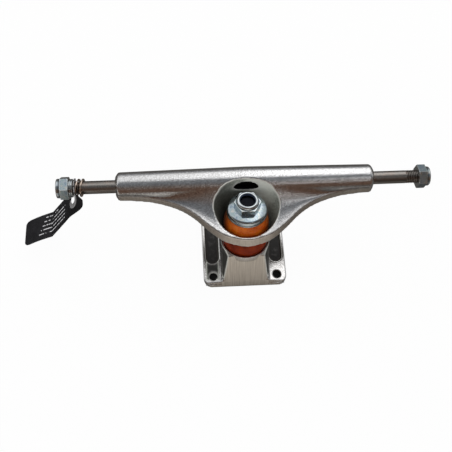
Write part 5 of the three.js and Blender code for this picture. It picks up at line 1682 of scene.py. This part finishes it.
# %% The card's own map, in millimetres along and across the strip
local = places_of(tag.data) - TAG_TOP
lengths = np.concatenate([[0], np.cumsum(np.linalg.norm(np.diff(hang_line, axis=0), axis=1))])
falls = -hang_line[:, 2]
down = np.interp(-local[:, 2], falls, lengths)
centre_y = np.interp(-local[:, 2], falls, hang_line[:, 1])
along = ((local - crease) @ (fold * [1, 0, 1])) / (fold @ (fold * [1, 0, 1]))
folded = along > 0
down[folded] = lengths[-1] + along[folded] * np.linalg.norm(fold)
centre_y[folded] = (crease[1] + fold[1] * along)[folded]
sideways = centre_y - local[:, 1]
card_map = tag.data.uv_layers.new(name="card")
corners = np.empty(len(tag.data.loops), np.int32)
tag.data.loops.foreach_get("vertex_index", corners)
card_map.data.foreach_set("uv", np.column_stack([down, sideways])[corners].astype(np.float32).ravel())
print("strip length", round(lengths[-1] + np.linalg.norm(fold), 1), "mm")

# %% Black card with a bare edge round its hole and broken lines of print
black_card, tree, shader = new_finish("printed_card", Specular_IOR_Level=0.3)
uv = add_node(tree, "ShaderNodeUVMap", uv_map="card").outputs["UV"]
strip = add_node(tree, "ShaderNodeSeparateXYZ", {"Vector": uv})
along_card, across_card = Number(tree, strip.outputs["X"]), Number(tree, strip.outputs["Y"])
LINE_GAP, LINE_HALF, LINE_START, LINES_FROM_MIDDLE = 2.8, 0.3, -0.6, 2.5
PRINT_TOP, PRINT_END, FIRST_LINE_DROP, LINE_SLANT = 28.5, 52.0, 9.0, 1.2
line_number = ((across_card - LINE_START) / LINE_GAP).make("ROUND")
from_line = (across_card - LINE_START - line_number * LINE_GAP).make("ABSOLUTE")
ink = (from_line * -6 + (LINE_HALF * 6 + 0.5)).between(0, 1)
words = add_node(tree, "ShaderNodeCombineXYZ", {"X": along_card * 0.9, "Y": line_number * 5.3})
breaks = add_node(tree, "ShaderNodeTexNoise", {"Vector": words.outputs[0], "Scale": 1.0, "Detail": 3.0},
                  noise_dimensions="2D")
gaps = ((Number(tree, breaks.outputs["Fac"]) - 0.44) * 30).between(0, 1)
first_line = line_number.make("LESS_THAN", -1.5)
inside = line_number.make("ABSOLUTE").make("LESS_THAN", LINES_FROM_MIDDLE)
inside = inside * (along_card - first_line * FIRST_LINE_DROP).make("GREATER_THAN", PRINT_TOP)
inside = inside * (along_card - line_number * LINE_SLANT).make("LESS_THAN", PRINT_END)
from_hole = along_card - TAG_HEAD
from_hole = from_hole - from_hole.between(0, HOLE_DROP)
rim_gap = (from_hole * from_hole + across_card * across_card).make("SQRT") - HOLE_RADIUS
bare = (rim_gap * -8 + 13.5).between(0, 1)
fibres = use_group(tree, grain, {"Size": 0.35, "Coarse Share": 0.5})
handled = use_group(tree, blotches, {"Size": 8.0, "Low": 0.0, "High": 1.0})
colour = tones(tree, ((17, 16, 19), (29, 28, 31)), handled["Value"])
colour = between(tree, colour, paint(222, 222, 224), ink * gaps * inside * 0.95)
colour = between(tree, colour, paint(150, 148, 148), bare * 0.85)
feed(tree, shader, Base_Color=colour, Roughness=between(tree, 0.5, 0.72, fibres["Sparkle"]))
emboss(tree, shader, fibres["Height"], 0.03)
finish_piece(tag, black_card, "tag", "black_card", "hang_tag", sharp=35)
